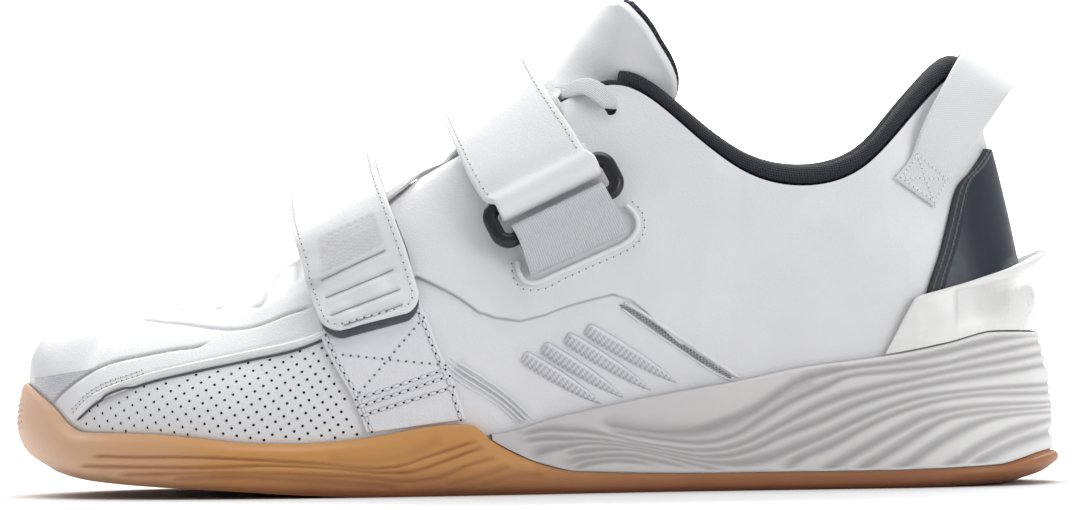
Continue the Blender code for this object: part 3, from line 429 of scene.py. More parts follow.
def sample(grid, a, b):
    """The grid at shares a along it and b across it."""
    rows, columns = grid.shape[:2]
    x, y = np.clip(a, 0, 1) * (rows - 1), np.clip(b, 0, 1) * (columns - 1)
    i, j = np.minimum(x.astype(int), rows - 2), np.minimum(y.astype(int), columns - 2)
    u, w = (x - i)[..., None], (y - j)[..., None]
    return ((grid[i, j] * (1 - w) + grid[i, j + 1] * w) * (1 - u)
            + (grid[i + 1, j] * (1 - w) + grid[i + 1, j + 1] * w) * u)


def fractions(length, edge, spacing):
    """Shares along a length, closer together in its rounded ends."""
    bend = edge * (1 - np.cos(np.linspace(0, np.pi / 2, 5)))[:-1]
    middle = np.linspace(edge, length - edge, max(3, int(length / spacing)))
    return np.concatenate([bend, middle, (length - bend)[::-1]]) / length


class Band:
    """A layer of even thickness over rows of points, with rounded edges and corners.

    low and high are its faces, measured out from the rows; inside is a point on the foot's side.
    """

    def __init__(self, rows, low, high, inside, edge=0.7, corners=(0, 0), spacing=0.9, smooth_rows=True):
        rows = np.asarray(rows, float)
        across = np.array([curve(row, 30) for row in rows])
        along = np.array([curve(across[:, j], 90 if smooth_rows else len(rows))
                          for j in range(30)]).transpose(1, 0, 2)
        self.base, self.low, self.high, self.inside = along, low, high, np.asarray(inside, float)
        self.length = lengths(along[:, 15])[-1]
        self.width = np.mean([lengths(row)[-1] for row in along[::8]])
        self.edge, self.corners, self.spacing = edge, corners, spacing

    def inset(self, a):
        """How much of the width each side gives up towards a rounded corner."""
        inset = np.zeros_like(a)
        for radius, away in zip(self.corners, (a, 1 - a)):
            if radius:
                left = np.clip(1 - away * self.length / radius, 0, 1)
                inset = np.maximum(inset, radius * (1 - np.sqrt(np.clip(1 - left ** 2, 0, 1))))
        return np.minimum(inset / self.width, 0.45)

    def place(self, a, b):
        """Share b across the band where its width narrows towards a rounded corner."""
        inset = self.inset(a)
        return inset + b * (1 - 2 * inset)

    def around(self, inset, far=0.97):
        """Shares a, b of a line so many millimetres inside the edge, round the first end."""
        radius, width = self.corners[0], self.width
        turn = np.linspace(0, np.pi / 2, 9)
        near = radius - (radius - inset) * np.sin(turn)
        along = np.concatenate([[far * self.length], near, near[::-1], [far * self.length]])
        wide = radius - (radius - inset) * np.cos(turn)
        over = np.concatenate([[inset], wide, width - wide[::-1], [width - inset]])
        a = along / self.length
        narrow = self.inset(a)
        return a, (over / width - narrow) / (1 - 2 * narrow)

    def find(self, xz, out=0.0):
        """Points of the lateral outer face where the side view shows xz, with their directions."""
        a, b = np.meshgrid(np.linspace(0, 1, 900), np.linspace(0, 1, 220), indexing="ij")
        points, facing = self.surface(a, b)
        points = points + self.high * facing
        near = np.where(points[..., 1] < 0, 0, 1e6)
        found = []
        for place in xz:
            gap = ((points[..., [0, 2]] - place) ** 2).sum(-1) + near
            i = np.unravel_index(gap.argmin(), gap.shape)
            found.append(np.concatenate([points[i] + out * facing[i], facing[i]]))
        fine = evenly(curve(found, 30), 0.5)
        return fine[:, :3], unit(fine[:, 3:])

    def surface(self, a, b):
        points = sample(self.base, a, self.place(a, b))
        facing = grid_normals(points)
        middle = points.shape[0] // 2, points.shape[1] // 2
        if np.dot(facing[middle], points[middle] - self.inside) < 0:
            facing = -facing
        return points, facing

    def make(self, name, look, marks=(), swell=0.0, flat_marks=False):
        along = fractions(self.length, self.edge, self.spacing)
        over = fractions(self.width, self.edge, self.spacing)
        a, b = np.meshgrid(along, over, indexing="ij")
        points, facing = self.surface(a, b)

        def rise(share, length):
            inner = np.clip(np.minimum(share, 1 - share) * length / self.edge, 0, 1)
            return np.sqrt(1 - (1 - inner) ** 2)

        body = np.minimum(rise(a, self.length), rise(b, self.width))
        half, middle = (self.high - self.low) / 2, (self.high + self.low) / 2
        top = points + (middle + half * body)[..., None] * facing
        top += (swell * body * np.sin(np.pi * b) ** 0.7)[..., None] * facing
        seen = top[..., [0, 2]] if flat_marks else top
        # dark is painted shade along the marks, kept in the shade attribute
        push, dark = engrave(seen, marks)
        if flat_marks:
            lateral = top[..., 1] < 0
            push, dark = push * lateral, dark * lateral
        top += (push * body)[..., None] * facing
        under = points + (middle - half * body)[..., None] * facing
        uv = np.stack([a * self.length, b * self.width], -1)
        count = a.size
        faces = np.concatenate([grid_faces(*a.shape), grid_faces(*a.shape, count)[:, ::-1]])
        return make(name, np.concatenate([top.reshape(-1, 3), under.reshape(-1, 3)]), faces, look,
                    np.concatenate([uv.reshape(-1, 2)] * 2),
                    np.concatenate([dark.ravel(), np.zeros(count)]))

    def line(self, a, b, spacing=0.5):
        """A line on the outer face through shares a, b, and the directions away from the foot."""
        a, b = np.broadcast_arrays(np.atleast_1d(a).astype(float), b)
        shares = evenly(np.stack([a * self.length, b * self.width], 1), 0.4) / (
            self.length, self.width)
        near_a = np.clip(shares[:, :1] + [[-0.01, 0.01]], 0, 1)
        near_b = np.clip(shares[:, 1:] + [[-0.02, 0.02]], 0, 1)
        at = sample(self.base, shares[:, 0], self.place(shares[:, 0], shares[:, 1]))
        by_a = sample(self.base, near_a[:, 1], shares[:, 1]) - sample(self.base, near_a[:, 0], shares[:, 1])
        by_b = sample(self.base, shares[:, 0], near_b[:, 1]) - sample(self.base, shares[:, 0], near_b[:, 0])
        facing = unit(np.cross(by_a, by_b))
        facing *= np.where(((at - self.inside) * facing).sum(1) < 0, -1, 1)[:, None]
        at = at + self.high * facing
        fine = evenly(np.concatenate([at, facing], 1), spacing)
        return fine[:, :3], unit(fine[:, 3:])


def circle(sides):
    """Cosines and sines round a circle, ending exactly where they start."""
    turn = np.linspace(0, math.tau, sides + 1)
    turn[-1] = 0
    return np.cos(turn), np.sin(turn)


def tube(name, path, radius, look, closed=False, sides=10, flatten=1.0, facing=None):
    """A round bar along a path, with closed ends; flatten squeezes it along the directions facing."""
    path = np.asarray(path, float)
    ahead = unit((np.roll(path, -1, 0) - np.roll(path, 1, 0)) if closed else np.gradient(path, axis=0))
    if facing is None:
        over = [unit(np.cross(ahead[0], [0.3, 0.5, 0.8]))]
        for step in ahead[1:]:
            over.append(unit(over[-1] - np.dot(over[-1], step) * step))
        over = np.array(over)
    else:
        over = unit(facing - (facing * ahead).sum(1)[:, None] * ahead)
    beside = np.cross(ahead, over)
    cosine, sine = circle(sides)
    radius = np.broadcast_to(radius, len(path))[:, None, None]
    rings = path[:, None] + radius * (cosine[None, :, None] * beside[:, None]
                                      + flatten * sine[None, :, None] * over[:, None])
    if closed:
        rings = np.concatenate([rings, rings[:1]])
    else:
        rings = np.concatenate([np.repeat(path[:1, None], sides + 1, 1), rings,
                                np.repeat(path[-1:, None], sides + 1, 1)])
    chord = lengths(rings.mean(1))
    turned = np.linspace(0, math.tau, sides + 1) * float(radius.mean())
    uv = np.stack(np.broadcast_arrays(chord[:, None], turned), -1)
    return make(name, rings, grid_faces(*rings.shape[:2]), look, uv, np.zeros(rings.shape[:2]))


def cords(name, runs, look, slot, sides=8):
    """Thin round cords as one mesh; a run is its points, the directions out of it and its radius."""
    parts, faces, patterns, count = [], [], [], 0
    cosine, sine = circle(sides)
    for points, facing, radius in runs:
        ahead = unit(np.gradient(points, axis=0))
        over = unit(facing - (facing * ahead).sum(1)[:, None] * ahead)
        beside = np.cross(ahead, over)
        chord = lengths(points)
        size = radius * np.sqrt(np.clip(np.minimum(chord, chord[-1] - chord) / (4 * radius), 0, 1))
        rings = points[:, None] + size[:, None, None] * (
            cosine[None, :, None] * beside[:, None] + sine[None, :, None] * over[:, None])
        parts.append(rings.reshape(-1, 3))
        faces.append(grid_faces(*rings.shape[:2], count))
        patterns.append(np.stack(np.broadcast_arrays(
            chord[:, None], np.linspace(0, math.tau * radius, sides + 1)), -1).reshape(-1, 2))
        count += len(parts[-1])
    made = make(name, np.concatenate(parts), np.concatenate(faces), look,
                np.concatenate(patterns), np.zeros(count))
    return piece(made, slot)


def both_sides(lines, spacing=0.6):
    """The runs of cords along lines of the side view, on both sides of the shoe."""
    return [(*trace(line, medial, out, spacing), radius)
            for line, radius, out in lines for medial in (False, True)]


def scatter(name, shape, faces, places, ahead, facing, look):
    """Many copies of one small closed shape as a single mesh, each turned ahead and facing out."""
    ahead = unit(ahead)
    facing = unit(facing - (facing * ahead).sum(1)[:, None] * ahead)
    frames = np.stack([ahead, np.cross(facing, ahead), facing], 1)
    points = places[:, None] + np.einsum("pk,nkc->npc", shape, frames)
    shift = np.arange(len(places))[:, None, None] * len(shape)
    return make(name, points, (faces[None] + shift).reshape(-1, faces.shape[1]), look, sharp=70)


def capsule(long, wide, tall, sides=6):
    """A stitch: a low hump that dips into the leather at both ends."""
    stations = np.array([-1, -0.8, -0.35, 0.35, 0.8, 1]) * long / 2
    size = np.array([0, 0.65, 1, 1, 0.65, 0])
    height = np.array([-0.5, -0.1, 0.35, 0.35, -0.1, -0.5]) * tall
    cosine, sine = circle(sides)
    rings = [np.stack([np.full(sides + 1, x), wide / 2 * s * cosine, tall / 2 * s * sine + h], 1)
             for x, s, h in zip(stations, size, height)]
    return np.concatenate(rings), grid_faces(len(stations), sides + 1)


def plug(radius, up, down, sides=8):
    """A short closed pin for a hole."""
    cosine, sine = circle(sides)
    rings = [np.stack([r * cosine, r * sine, np.full(sides + 1, h)], 1)
             for r, h in [(0.0, up), (radius, up), (radius, -down), (0.0, -down)]]
    return np.concatenate(rings), grid_faces(len(rings), sides + 1)


class Sewing:
    """Collects rows of stitches, to make the threads and the needle holes of one colour at once."""

    def __init__(self):
        self.threads, self.holes = [], []

    def row(self, points, facing, pitch=2.3, offset=0.0):
        if offset:
            beside = unit(np.cross(facing, np.gradient(points, axis=0)))
            points = points + offset * beside
        both = evenly(np.concatenate([points, facing], 1), pitch)
        knots, away = both[:, :3], unit(both[:, 3:])
        middle = (knots[1:] + knots[:-1]) / 2
        self.threads.append((middle, np.diff(knots, axis=0), unit(away[1:] + away[:-1])))
        self.holes.append((knots, np.gradient(knots, axis=0), away))

    def make(self, thread_name, hole_name, thread, hole, slot, long=1.7, wide=0.5, tall=0.32,
             hole_radius=0.24, shadow=None):
        # the needle holes are dark plugs: the holes are real, their darkness is painted shade inside them
        parts = [(thread_name, self.threads, capsule(long, wide, tall), thread),
                 (hole_name, self.holes, plug(hole_radius, 0.06, 0.4, 6), hole)]
        # with shadow, a wider grey capsule lies under each thread: painted shadow round it
        if shadow:
            parts.append((f"{thread_name}_bed", self.threads, capsule(long + 0.3, wide + 0.45, 0.1),
                          shadow))
        for name, rows, (shape, faces), look in parts:
            places, ahead, facing = (np.concatenate([row[k] for row in rows]) for k in range(3))
            piece(scatter(name, shape, faces, places, ahead, facing, look), slot)


class Look:
    """A material, with short calls for its nodes. Pattern coordinates are in millimetres."""

    def __init__(self, name, colour, roughness, **sockets):
        self.made = bpy.data.materials.new(name)
        self.made.use_nodes = True
        self.tree = self.made.node_tree
        self.shader = self.tree.nodes["Principled BSDF"]
        self.colour = (*colour, 1)
        self.shader.inputs["Base Color"].default_value = self.colour
        self.shader.inputs["Roughness"].default_value = roughness
        for socket, value in sockets.items():
            self.shader.inputs[socket.replace("_", " ")].default_value = value

    def node(self, kind, inputs=None, output=0, **settings):
        made = self.tree.nodes.new("ShaderNode" + kind)
        for key, value in settings.items():
            setattr(made, key, value)
        for key, value in (inputs or {}).items():
            if isinstance(value, bpy.types.NodeSocket):
                self.tree.links.new(value, made.inputs[key])
            else:
                made.inputs[key].default_value = value
        return made.outputs[output]

    def math(self, operation, a, b=0.0, c=0.0):
        return self.node("Math", {0: a, 1: b, 2: c}, operation=operation)

    def place(self):
        return self.node("TexCoord", output="Object")

    def pattern(self):
        """The two pattern coordinates, in millimetres."""
        both = self.node("SeparateXYZ", {0: self.node("UVMap", uv_map="pattern")}, "X")
        return both, both.node.outputs["Y"]

    def noise(self, size, detail=3.0, where=None):
        """Noise from 0 to 1 with lumps of about so many millimetres."""
        return self.node("TexNoise", {"Vector": where or self.place(), "Scale": 1 / (size * MM),
                                      "Detail": detail})

    def cells(self, size):
        return self.node("TexVoronoi", {"Vector": self.place(), "Scale": 1 / (size * MM)})

    def wave(self, at, pitch, shift=0.0):
        """A sine of one coordinate, from -1 to 1."""
        return self.math("SINE", self.math("MULTIPLY_ADD", at, math.tau / pitch, shift))

    def span(self, value, low, high, first=0.0, second=1.0):
        return self.node("MapRange", {0: value, 1: low, 2: high, 3: first, 4: second})

    def mix(self, factor, first, second):
        return self.node("Mix", {0: factor, 6: first, 7: second}, 2, data_type="RGBA")

    def shade(self):
        return self.node("Attribute", output="Fac", attribute_name="shade")

    def paint(self, colour):
        self.tree.links.new(colour, self.shader.inputs["Base Color"])

    def gloss(self, roughness):
        self.tree.links.new(roughness, self.shader.inputs["Roughness"])

    def bump(self, height, depth, normal=None):
        """Bump as deep as so many millimetres where the height goes from 0 to 1."""
        inputs = {"Height": height, "Distance": depth * MM, "Strength": 1.0}
        if normal is not None:
            inputs["Normal"] = normal
        out = self.node("Bump", inputs)
        self.tree.links.new(out, self.shader.inputs["Normal"])
        return out


def leather(name, colour, roughness=0.42, grain=0.05, dark=(0.30, 0.30, 0.33), pores=0.55):
    """Smooth synthetic leather: fine pores, a faint unevenness and painted shade in its grooves, grey from the
    shade attribute.
    """
    look = Look(name, colour, roughness, Coat_Weight=0.06, Coat_Roughness=0.35)
    tone = look.mix(look.span(look.noise(14, 2), 0.35, 0.7), look.colour,
                    tuple(0.965 * c for c in colour) + (1,))
    # painted shade: where the shade attribute is set, the colour turns towards the dark grey
    look.paint(look.mix(look.shade(), tone, (*dark, 1)))
    look.gloss(look.span(look.noise(3.5), 0.3, 0.7, roughness - 0.05, roughness + 0.07))
    fine = look.math("ADD", look.cells(pores), look.noise(1.6, 4))
    look.bump(fine, grain)
    return look.made


def woven(name, colour, pitch=(0.9, 0.9), depth=0.12, second=None, roughness=0.8, sheen=0.2,
          diagonal=False):
    """A woven or braided tape: threads across each other, every second one lighter or darker."""
    look = Look(name, colour, roughness, Sheen_Weight=sheen, Sheen_Roughness=0.5)
    u, v = look.pattern()
    if diagonal:
        u, v = look.math("ADD", u, v), look.math("SUBTRACT", u, v)
    height = look.math("MULTIPLY", look.wave(u, pitch[0]), look.wave(v, pitch[1]))
    height = look.span(height, -1, 1)
    other = second or tuple(0.8 * c for c in colour)
    fuzz = look.noise(0.5, 3)
    tone = look.mix(look.math("MULTIPLY_ADD", height, 0.7, look.math("MULTIPLY", fuzz, 0.3)),
                    (*other, 1), look.colour)
    # painted shade: the shade attribute darkens the cloth towards grey where it is set
    look.paint(look.mix(look.shade(), tone, (0.25, 0.25, 0.27, 1)))
    look.bump(look.math("MULTIPLY_ADD", fuzz, 0.35, height), depth)
    return look.made


def knitted(name, colour, light, pitch=1.1, depth=0.22):
    """A dark sports knit: columns of small slanting loops with lighter fibres."""
    look = Look(name, colour, 0.88, Sheen_Weight=0.1, Sheen_Roughness=0.4)
    u, v = look.pattern()
    slant = look.math("MULTIPLY", look.wave(u, 2 * pitch), 1.6)
    row = look.node("Math", {0: look.math("MULTIPLY_ADD", v, math.tau / pitch, slant)},
                    operation="SINE")
    loops = look.math("MULTIPLY_ADD", look.wave(u, pitch), 0.5, row)
    height = look.span(loops, -1.5, 1.5)
    fibre = look.span(look.noise(0.7, 4), 0.45, 0.75)
    tone = look.math("MULTIPLY", fibre, height)
    look.paint(look.mix(tone, look.colour, (*light, 1)))
    look.bump(look.math("MULTIPLY_ADD", fibre, 0.3, height), depth)
    return look.made


def moulded(name, colour, roughness, depth=0.02, size=0.8, **sockets):
    """Moulded plastic or rubber with a fine spark-eroded skin."""
    look = Look(name, colour, roughness, **sockets)
    tone = look.mix(look.span(look.noise(9, 2), 0.3, 0.7), look.colour,
                    tuple(0.93 * c for c in colour) + (1,))
    # painted shade: the shade attribute darkens the plastic where it is set, as in the heel cup's pocket
    look.paint(look.mix(look.shade(), tone, tuple(0.4 * c for c in colour) + (1,)))
    look.gloss(look.span(look.noise(2.5), 0.3, 0.7, roughness - 0.04, roughness + 0.06))
    look.bump(look.noise(size, 3), depth)
    return look.made


def gum_rubber():
    """Gum rubber: pale at the toe and amber at the waist; browner towards the heel, near the ground and in its
    grooves, which is painted shade.
    """
    look = Look("gum rubber", (0.56, 0.27, 0.10), 0.46, Coat_Weight=0.05, Coat_Roughness=0.4)
    where = look.node("SeparateXYZ", {0: look.place()}, "X")
    height = where.node.outputs["Z"]
    amber, pale, shadow_brown = (0.60, 0.285, 0.085, 1), (0.74, 0.49, 0.34, 1), (0.22, 0.07, 0.028, 1)
    cloud = look.math("MULTIPLY_ADD", look.noise(22, 2), 0.02, where)
    tone = look.mix(look.span(cloud, -0.14, -0.075), pale, amber)
    # browner towards the heel: painted shade
    tone = look.mix(look.span(cloud, -0.03, 0.11, 0.0, 0.75), tone, (0.33, 0.125, 0.045, 1))
    # dark brown in a band near the ground: painted shadow along the sole's foot
    low = look.math("MULTIPLY_ADD", look.noise(12, 2), -0.002, height)
    tone = look.mix(look.span(low, 0.0, 0.008, 0.85, 0.0), tone, shadow_brown)
    # the shade attribute paints shade into the grooves
    look.paint(look.mix(look.math("MULTIPLY", look.shade(), 0.65), tone, shadow_brown))
    look.gloss(look.span(look.noise(3), 0.3, 0.7, 0.4, 0.55))
    look.bump(look.noise(0.7, 4), 0.025)
    return look.made


def foam():
    """The midsole's warm white foam, its skin slightly matt. Its grey is painted shade from under the upper's
    overhang.
    """
    look = Look("white midsole foam", (0.66, 0.645, 0.635), 0.5, Subsurface_Weight=0.06,
                Subsurface_Scale=0.004)
    where = look.node("SeparateXYZ", {0: look.place()}, "X")
    cloud = look.math("MULTIPLY_ADD", look.noise(18, 2), 0.012, where)
    # lighter towards the heel: painted light
    tone = look.mix(look.span(cloud, 0.05, 0.155), look.colour, (0.80, 0.795, 0.785, 1))
    # darker towards the front: painted shade
    tone = look.mix(look.span(cloud, -0.02, 0.06, 0.55, 0.0), tone, (0.42, 0.405, 0.415, 1))
    # the shade attribute paints shade into the valleys of the folds
    look.paint(look.mix(look.shade(), tone, (0.30, 0.285, 0.29, 1)))
    look.gloss(look.span(look.noise(3), 0.3, 0.7, 0.44, 0.58))
    look.bump(look.noise(0.6, 4), 0.03)
    return look.made


WHITE = (0.80, 0.80, 0.815)
UPPER = leather("white synthetic leather", WHITE)
STRAP_LOOK = leather("white strap leather", (0.81, 0.81, 0.82), 0.5, 0.05)
TONGUE_LOOK = leather("white tongue leather", (0.86, 0.86, 0.87), 0.5, 0.04)
BASE_LOOK = leather("white side leather", (0.79, 0.79, 0.81), 0.46, 0.06)
LINING = woven("grey lining mesh", (0.16, 0.17, 0.19), (1.2, 1.2), 0.2, (0.05, 0.055, 0.065))
GUM_LOOK = gum_rubber()
FOAM = foam()
KNIT = knitted("dark collar knit", (0.010, 0.012, 0.022), (0.12, 0.13, 0.17))
BRAID = woven("dark braided binding", (0.040, 0.042, 0.055), (1.7, 1.3), 0.4,
              (0.002, 0.002, 0.004), 0.8, 0.03, True)
TAPE = woven("white woven tape", (0.80, 0.805, 0.81), (0.8, 0.8), 0.10, (0.62, 0.63, 0.64), 0.78)
LACE_LOOK = woven("white flat lace", (0.82, 0.82, 0.825), (1.2, 1.0), 0.14, (0.62, 0.62, 0.64),
                  0.75, 0.2, True)
WEBBING_LOOK = woven("elastic webbing", (0.78, 0.785, 0.80), (400, 0.68), 0.3,
                     (0.36, 0.365, 0.39), 0.7)
BLACK = moulded("black plastic", (0.014, 0.014, 0.016), 0.3, 0.01, 1.2)
CLIP_LOOK = moulded("milky clip", (0.86, 0.855, 0.84), 0.3, 0.006, 2.5, Subsurface_Weight=0.05,
                    Subsurface_Scale=0.002, Coat_Weight=0.25, Coat_Roughness=0.15)
COUNTER_LOOK = moulded("dark heel panel", (0.016, 0.024, 0.038), 0.38, 0.012, 0.9)
BORDER_LOOK = moulded("dark heel border", (0.020, 0.022, 0.026), 0.55, 0.03, 0.7)
RIB_LOOK = leather("white knurled rib", (0.79, 0.79, 0.81), 0.5, 0.04)
PIPING_LOOK = leather("glossy white piping", (0.83, 0.83, 0.84), 0.25, 0.01)
RIBBING_LOOK = moulded("ribbing", (0.68, 0.68, 0.72), 0.5, 0.01)
CHANNEL_LOOK = woven("grey channel mesh", (0.50, 0.50, 0.52), (1.1, 1.1), 0.2, (0.08, 0.08, 0.09))
SHADOW_CORD_LOOK = moulded("painted shadow cord", (0.10, 0.10, 0.115), 0.7, 0.02)
GROOVE_SHADE_LOOK = moulded("painted groove shade", (0.34, 0.34, 0.37), 0.6, 0.02)
FOOTBED = woven("dark sockliner cloth", (0.10, 0.105, 0.12), (1.1, 1.1), 0.15,
                (0.04, 0.042, 0.05))
HOOK = woven("grey hook and loop", (0.22, 0.225, 0.25), (0.6, 0.6), 0.35, (0.06, 0.06, 0.08), 0.95)
THREAD = woven("white thread", (0.83, 0.83, 0.84), (0.5, 0.5), 0.05, (0.7, 0.7, 0.72), 0.6)
DARK_THREAD = woven("dark thread", (0.12, 0.13, 0.17), (0.5, 0.5), 0.05, (0.05, 0.05, 0.07), 0.6)
# dark plugs for needle holes, perforations and eyelets: the holes are real, their dark colour is painted shade
# inside them
HOLE = moulded("needle hole", (0.14, 0.14, 0.16), 0.9)
# grey for the capsules under the bold threads: painted shadow
THREAD_SHADOW_LOOK = moulded("thread shadow", (0.46, 0.46, 0.49), 0.9)
DEEP_HOLE = moulded("deep needle hole", (0.03, 0.03, 0.04), 0.9)
PERFORATION = moulded("perforation", (0.006, 0.006, 0.008), 0.9)


# Lines of the side view, x and z in millimetres
TOE_LINE = [(-139.1, 26.2), (-136.5, 29.5), (-132.9, 32.4), (-127.7, 35.3), (-120.5, 38.2),
            (-111.8, 40.0), (-102.2, 41.7), (-95.7, 42.6), (-92.5, 43.9)]
TOE_RIBS = ([(-144.0, 34.0), (-144.3, 31.6), (-142.6, 29.2), (-140.7, 26.8)],
            [(-126.0, 36.4), (-130.6, 34.3), (-134.9, 31.2), (-138.5, 27.7)])
VAMP_SEAM = [(-113.6, 50.0), (-106, 49.0), (-99.3, 48.4), (-93.9, 47.6), (-87.0, 47.1), (-81.3, 47.6),
             (-76.2, 49.0), (-70.4, 51.3), (-62.5, 53.6)]
SHINGLES = [[(-81.2, 53.5), (-79.0, 53.3), (-77.9, 53.7), (-76.1, 57.3), (-74.2, 61.2), (-71.7, 64.4),
             (-68.4, 66.4)],
            [(-91.6, 53.0), (-89.7, 52.9), (-88.7, 53.7), (-87.3, 55.6), (-85.4, 57.8),
             (-82.9, 59.5), (-78.9, 61.1)],
            [(-102.5, 51.6), (-99.2, 53.3), (-97.0, 54.7), (-94.1, 56.5), (-90.8, 57.7),
             (-87.2, 58.2)]]
WELT = [(25.4, 54.2), (30.0, 51.5), (36.4, 47.1), (42.0, 43.3), (47.9, 39.2), (53, 35.7), (58.2, 32.0)]
LIP = [(24.6, 52.6), (28.0, 49.9), (35.3, 44.5), (41.0, 40.6), (46.6, 36.7), (52.0, 33.2), (56.0, 31.3)]
CHANNEL = [(24.6, 53.6, 24.2, 53.2), (28.6, 51.5, 27.9, 50.6), (36.3, 46.2, 35.4, 45.1),
           (47.6, 38.2, 46.8, 37.2), (56.0, 32.4, 55.6, 31.9)]
FINE_RIDGES = [[(-25.5, 35.4), (-22.5, 33.0), (-9.5, 24.4), (-4.9, 20.1)],
               [(-25.0, 36.7), (-21.6, 34.2), (-8.7, 25.3), (-3.4, 20.3)],
               [(-24.7, 38.0), (-20.8, 35.4), (-7.8, 26.3), (-1.9, 20.5)],
               [(-24.6, 39.3), (-20.0, 36.6), (-7.0, 27.3), (-0.4, 20.7)]]
UPPER_SPACING = 0.0345
MEDIAL_SPACING = 0.062


def upper_marks():
    marks = []
    for medial in (False, True):
        def laid(xz):
            return trace(xz, medial, flat=True)[0]

        # the last number of each mark is the painted shade in its groove
        marks += [(laid(TOE_LINE), 0.6, 0.5, 0.9), (laid(VAMP_SEAM), 0.55, 0.45, 0.8)]
        marks += [(laid(line), 0.95, 0.5, 0.42) for line in SHINGLES]
        marks += [(laid([(-23.5, 37.2), (-20.4, 34.8), (-8, 25.9), (-2.8, 20.4)]), 2.0, 0.3, 0.55)]
    return marks


def make_upper():
    """The shell, outside and inside, with the step, the grooves and the ridges of its side."""
    vamp = BALL + np.linspace(0, ROUND - 2 * BALL, int((ROUND - 2 * BALL) / UPPER_SPACING) + 1)
    columns = np.concatenate([np.arange(0, BALL, UPPER_SPACING), vamp,
                              np.arange(ROUND - BALL + MEDIAL_SPACING, ROUND, MEDIAL_SPACING), [0]])
    edge = step_v(columns)[:, None]
    tall = np.interp(np.mod(columns, ROUND), ROUND_STOPS, HEIGHT)[:, None]
    close_under = edge - np.minimum(np.array([1.6, 1.1, 0.75, 0.5, 0.3, 0.15, 0.0]) / tall,
                                    edge * np.linspace(0.5, 0, 7))
    below = np.concatenate([close_under[:, :1] * np.linspace(0, 1, 27)[:-1], close_under], 1)
    close = edge + np.array([0.12, 0.25, 0.4, 0.6, 0.85, 1.1, 1.5, 2.0, 2.5, 3.1]) / tall
    above = close[:, -1:] + (1 - close[:, -1:]) * np.linspace(0, 1, 80)[1:]
    foot = np.repeat([[-1.0, -0.5]], len(columns), 0)
    v = np.concatenate([foot, below, close, above], 1)
    t = np.repeat(columns[:, None], v.shape[1], 1)
    flat, away = last(t, v), outward(t, v)
    push, dark = engrave(flat, upper_marks())
    # painted shadow: a dark line just under the step's edge, weaker where the step is low and behind x = 22 mm
    dark = np.maximum(dark, 0.8 * np.exp(-(((v - edge) * tall + 0.12) / 0.3) ** 2)
                      * ease((edge - 0.05) / 0.1) * (1 - 0.8 * ease((flat[..., 0] - 22) / 5)))
    outer = flat + (relief(t, v) + push)[..., None] * away
    inner_v = np.concatenate([np.linspace(1, 0, 15), [-0.5, -1.0]])
    inner_t = np.repeat(columns[:, None], len(inner_v), 1)
    inner_v = np.repeat(inner_v[None], len(columns), 0)
    inner = last(inner_t, inner_v) - WALL * outward(inner_t, inner_v)
    around = lengths(last(columns, 0.4))[:, None]
    uv = np.stack(np.broadcast_arrays(around, v * tall), -1)
    uv_in = np.stack(np.broadcast_arrays(around, inner_v * tall), -1)
    outside = grid_faces(*t.shape)
    inside = grid_faces(*inner_t.shape, t.size)
    ends = [np.arange(len(columns)) * t.shape[1] + k for k in (t.shape[1] - 1, 0)]
    starts = [t.size + np.arange(len(columns)) * inner_t.shape[1] + k
              for k in (0, inner_t.shape[1] - 1)]
    ridge = np.abs(np.mod(columns, ROUND) - TIP) <= TIP - BALL + 0.01
    rims = []
    for outer_end, inner_end, skip in ((ends[0], starts[0], ridge), (ends[1], starts[1], None)):
        rim = np.stack([outer_end[:-1], outer_end[1:], inner_end[1:], inner_end[:-1]], -1)
        if skip is not None:
            rim = rim[~(skip[:-1] & skip[1:])]
        else:
            rim = rim[:, ::-1]
        rims.append(rim[:, ::-1])
    faces = np.concatenate([outside, inside, *rims])
    kinds = np.concatenate([np.zeros(len(outside), int), np.ones(len(faces) - len(outside), int)])
    made = make("upper_shell", np.concatenate([outer.reshape(-1, 3), inner.reshape(-1, 3)]), faces,
                [UPPER, LINING], np.concatenate([uv.reshape(-1, 2), uv_in.reshape(-1, 2)]),
                np.concatenate([dark.ravel(), np.zeros(inner_t.size)]), kinds)
    return piece(made, "upper", "upper")


def make_trims():
    """The piping of the vamp, the welt and the channel of the quarter, the fine cords and ribbing."""
    piping = [(x - 0.25, z + 0.85) for x, z in STEP[:7]]
    cords("vamp_piping", both_sides([(piping, 0.8, 0.2)]), PIPING_LOOK, "upper", 12)
    # painted shadow: a dark cord just under the piping
    under = [(x + 0.15, z - 0.25) for x, z in STEP[:7]]
    cords("vamp_shadow_line", both_sides([(under, 0.36, 0.15)]), SHADOW_CORD_LOOK, "upper", 8)
    quarter = [(WELT, 0.55, 0.35), (LIP, 0.32, 0.25)]
    quarter += [(line, 0.3, 0.0) for line in FINE_RIDGES]
    cords("quarter_cords", both_sides(quarter), UPPER, "upper")
    top, low = (curve(line, 12) for line in TOE_RIBS)
    ribs = [([tuple(a), tuple((a + b) / 2 + (0, 0.25)), tuple(b)], 0.2, 0.06)
            for a, b in zip(top, low)]
    cords("toe_ribbing", both_sides(ribs, 0.5), RIBBING_LOOK, "upper", 6)
    for medial in (False, True):
        hand = "medial" if medial else "lateral"
        band = Band(on_side(CHANNEL, 5, 0.3, medial), -0.3, 0.12, (20, 0, 40), 0.2, (0, 0), 0.5)
        piece(band.make(f"quarter_channel_{hand}", CHANNEL_LOOK), "upper")


# The perforated side of the forefoot, inside these corners in side view
PANEL_REAR = [(-57.6, 42.4), (-57.0, 40.9), (-53.0, 28.7), (-48.4, 17.1)]
ROW_STEP = (2.40, 1.50)
COLUMN_STEP = (1.45, -2.15)
PANEL_START = (-100.0, 30.0)
HOLE_RADIUS = 0.42


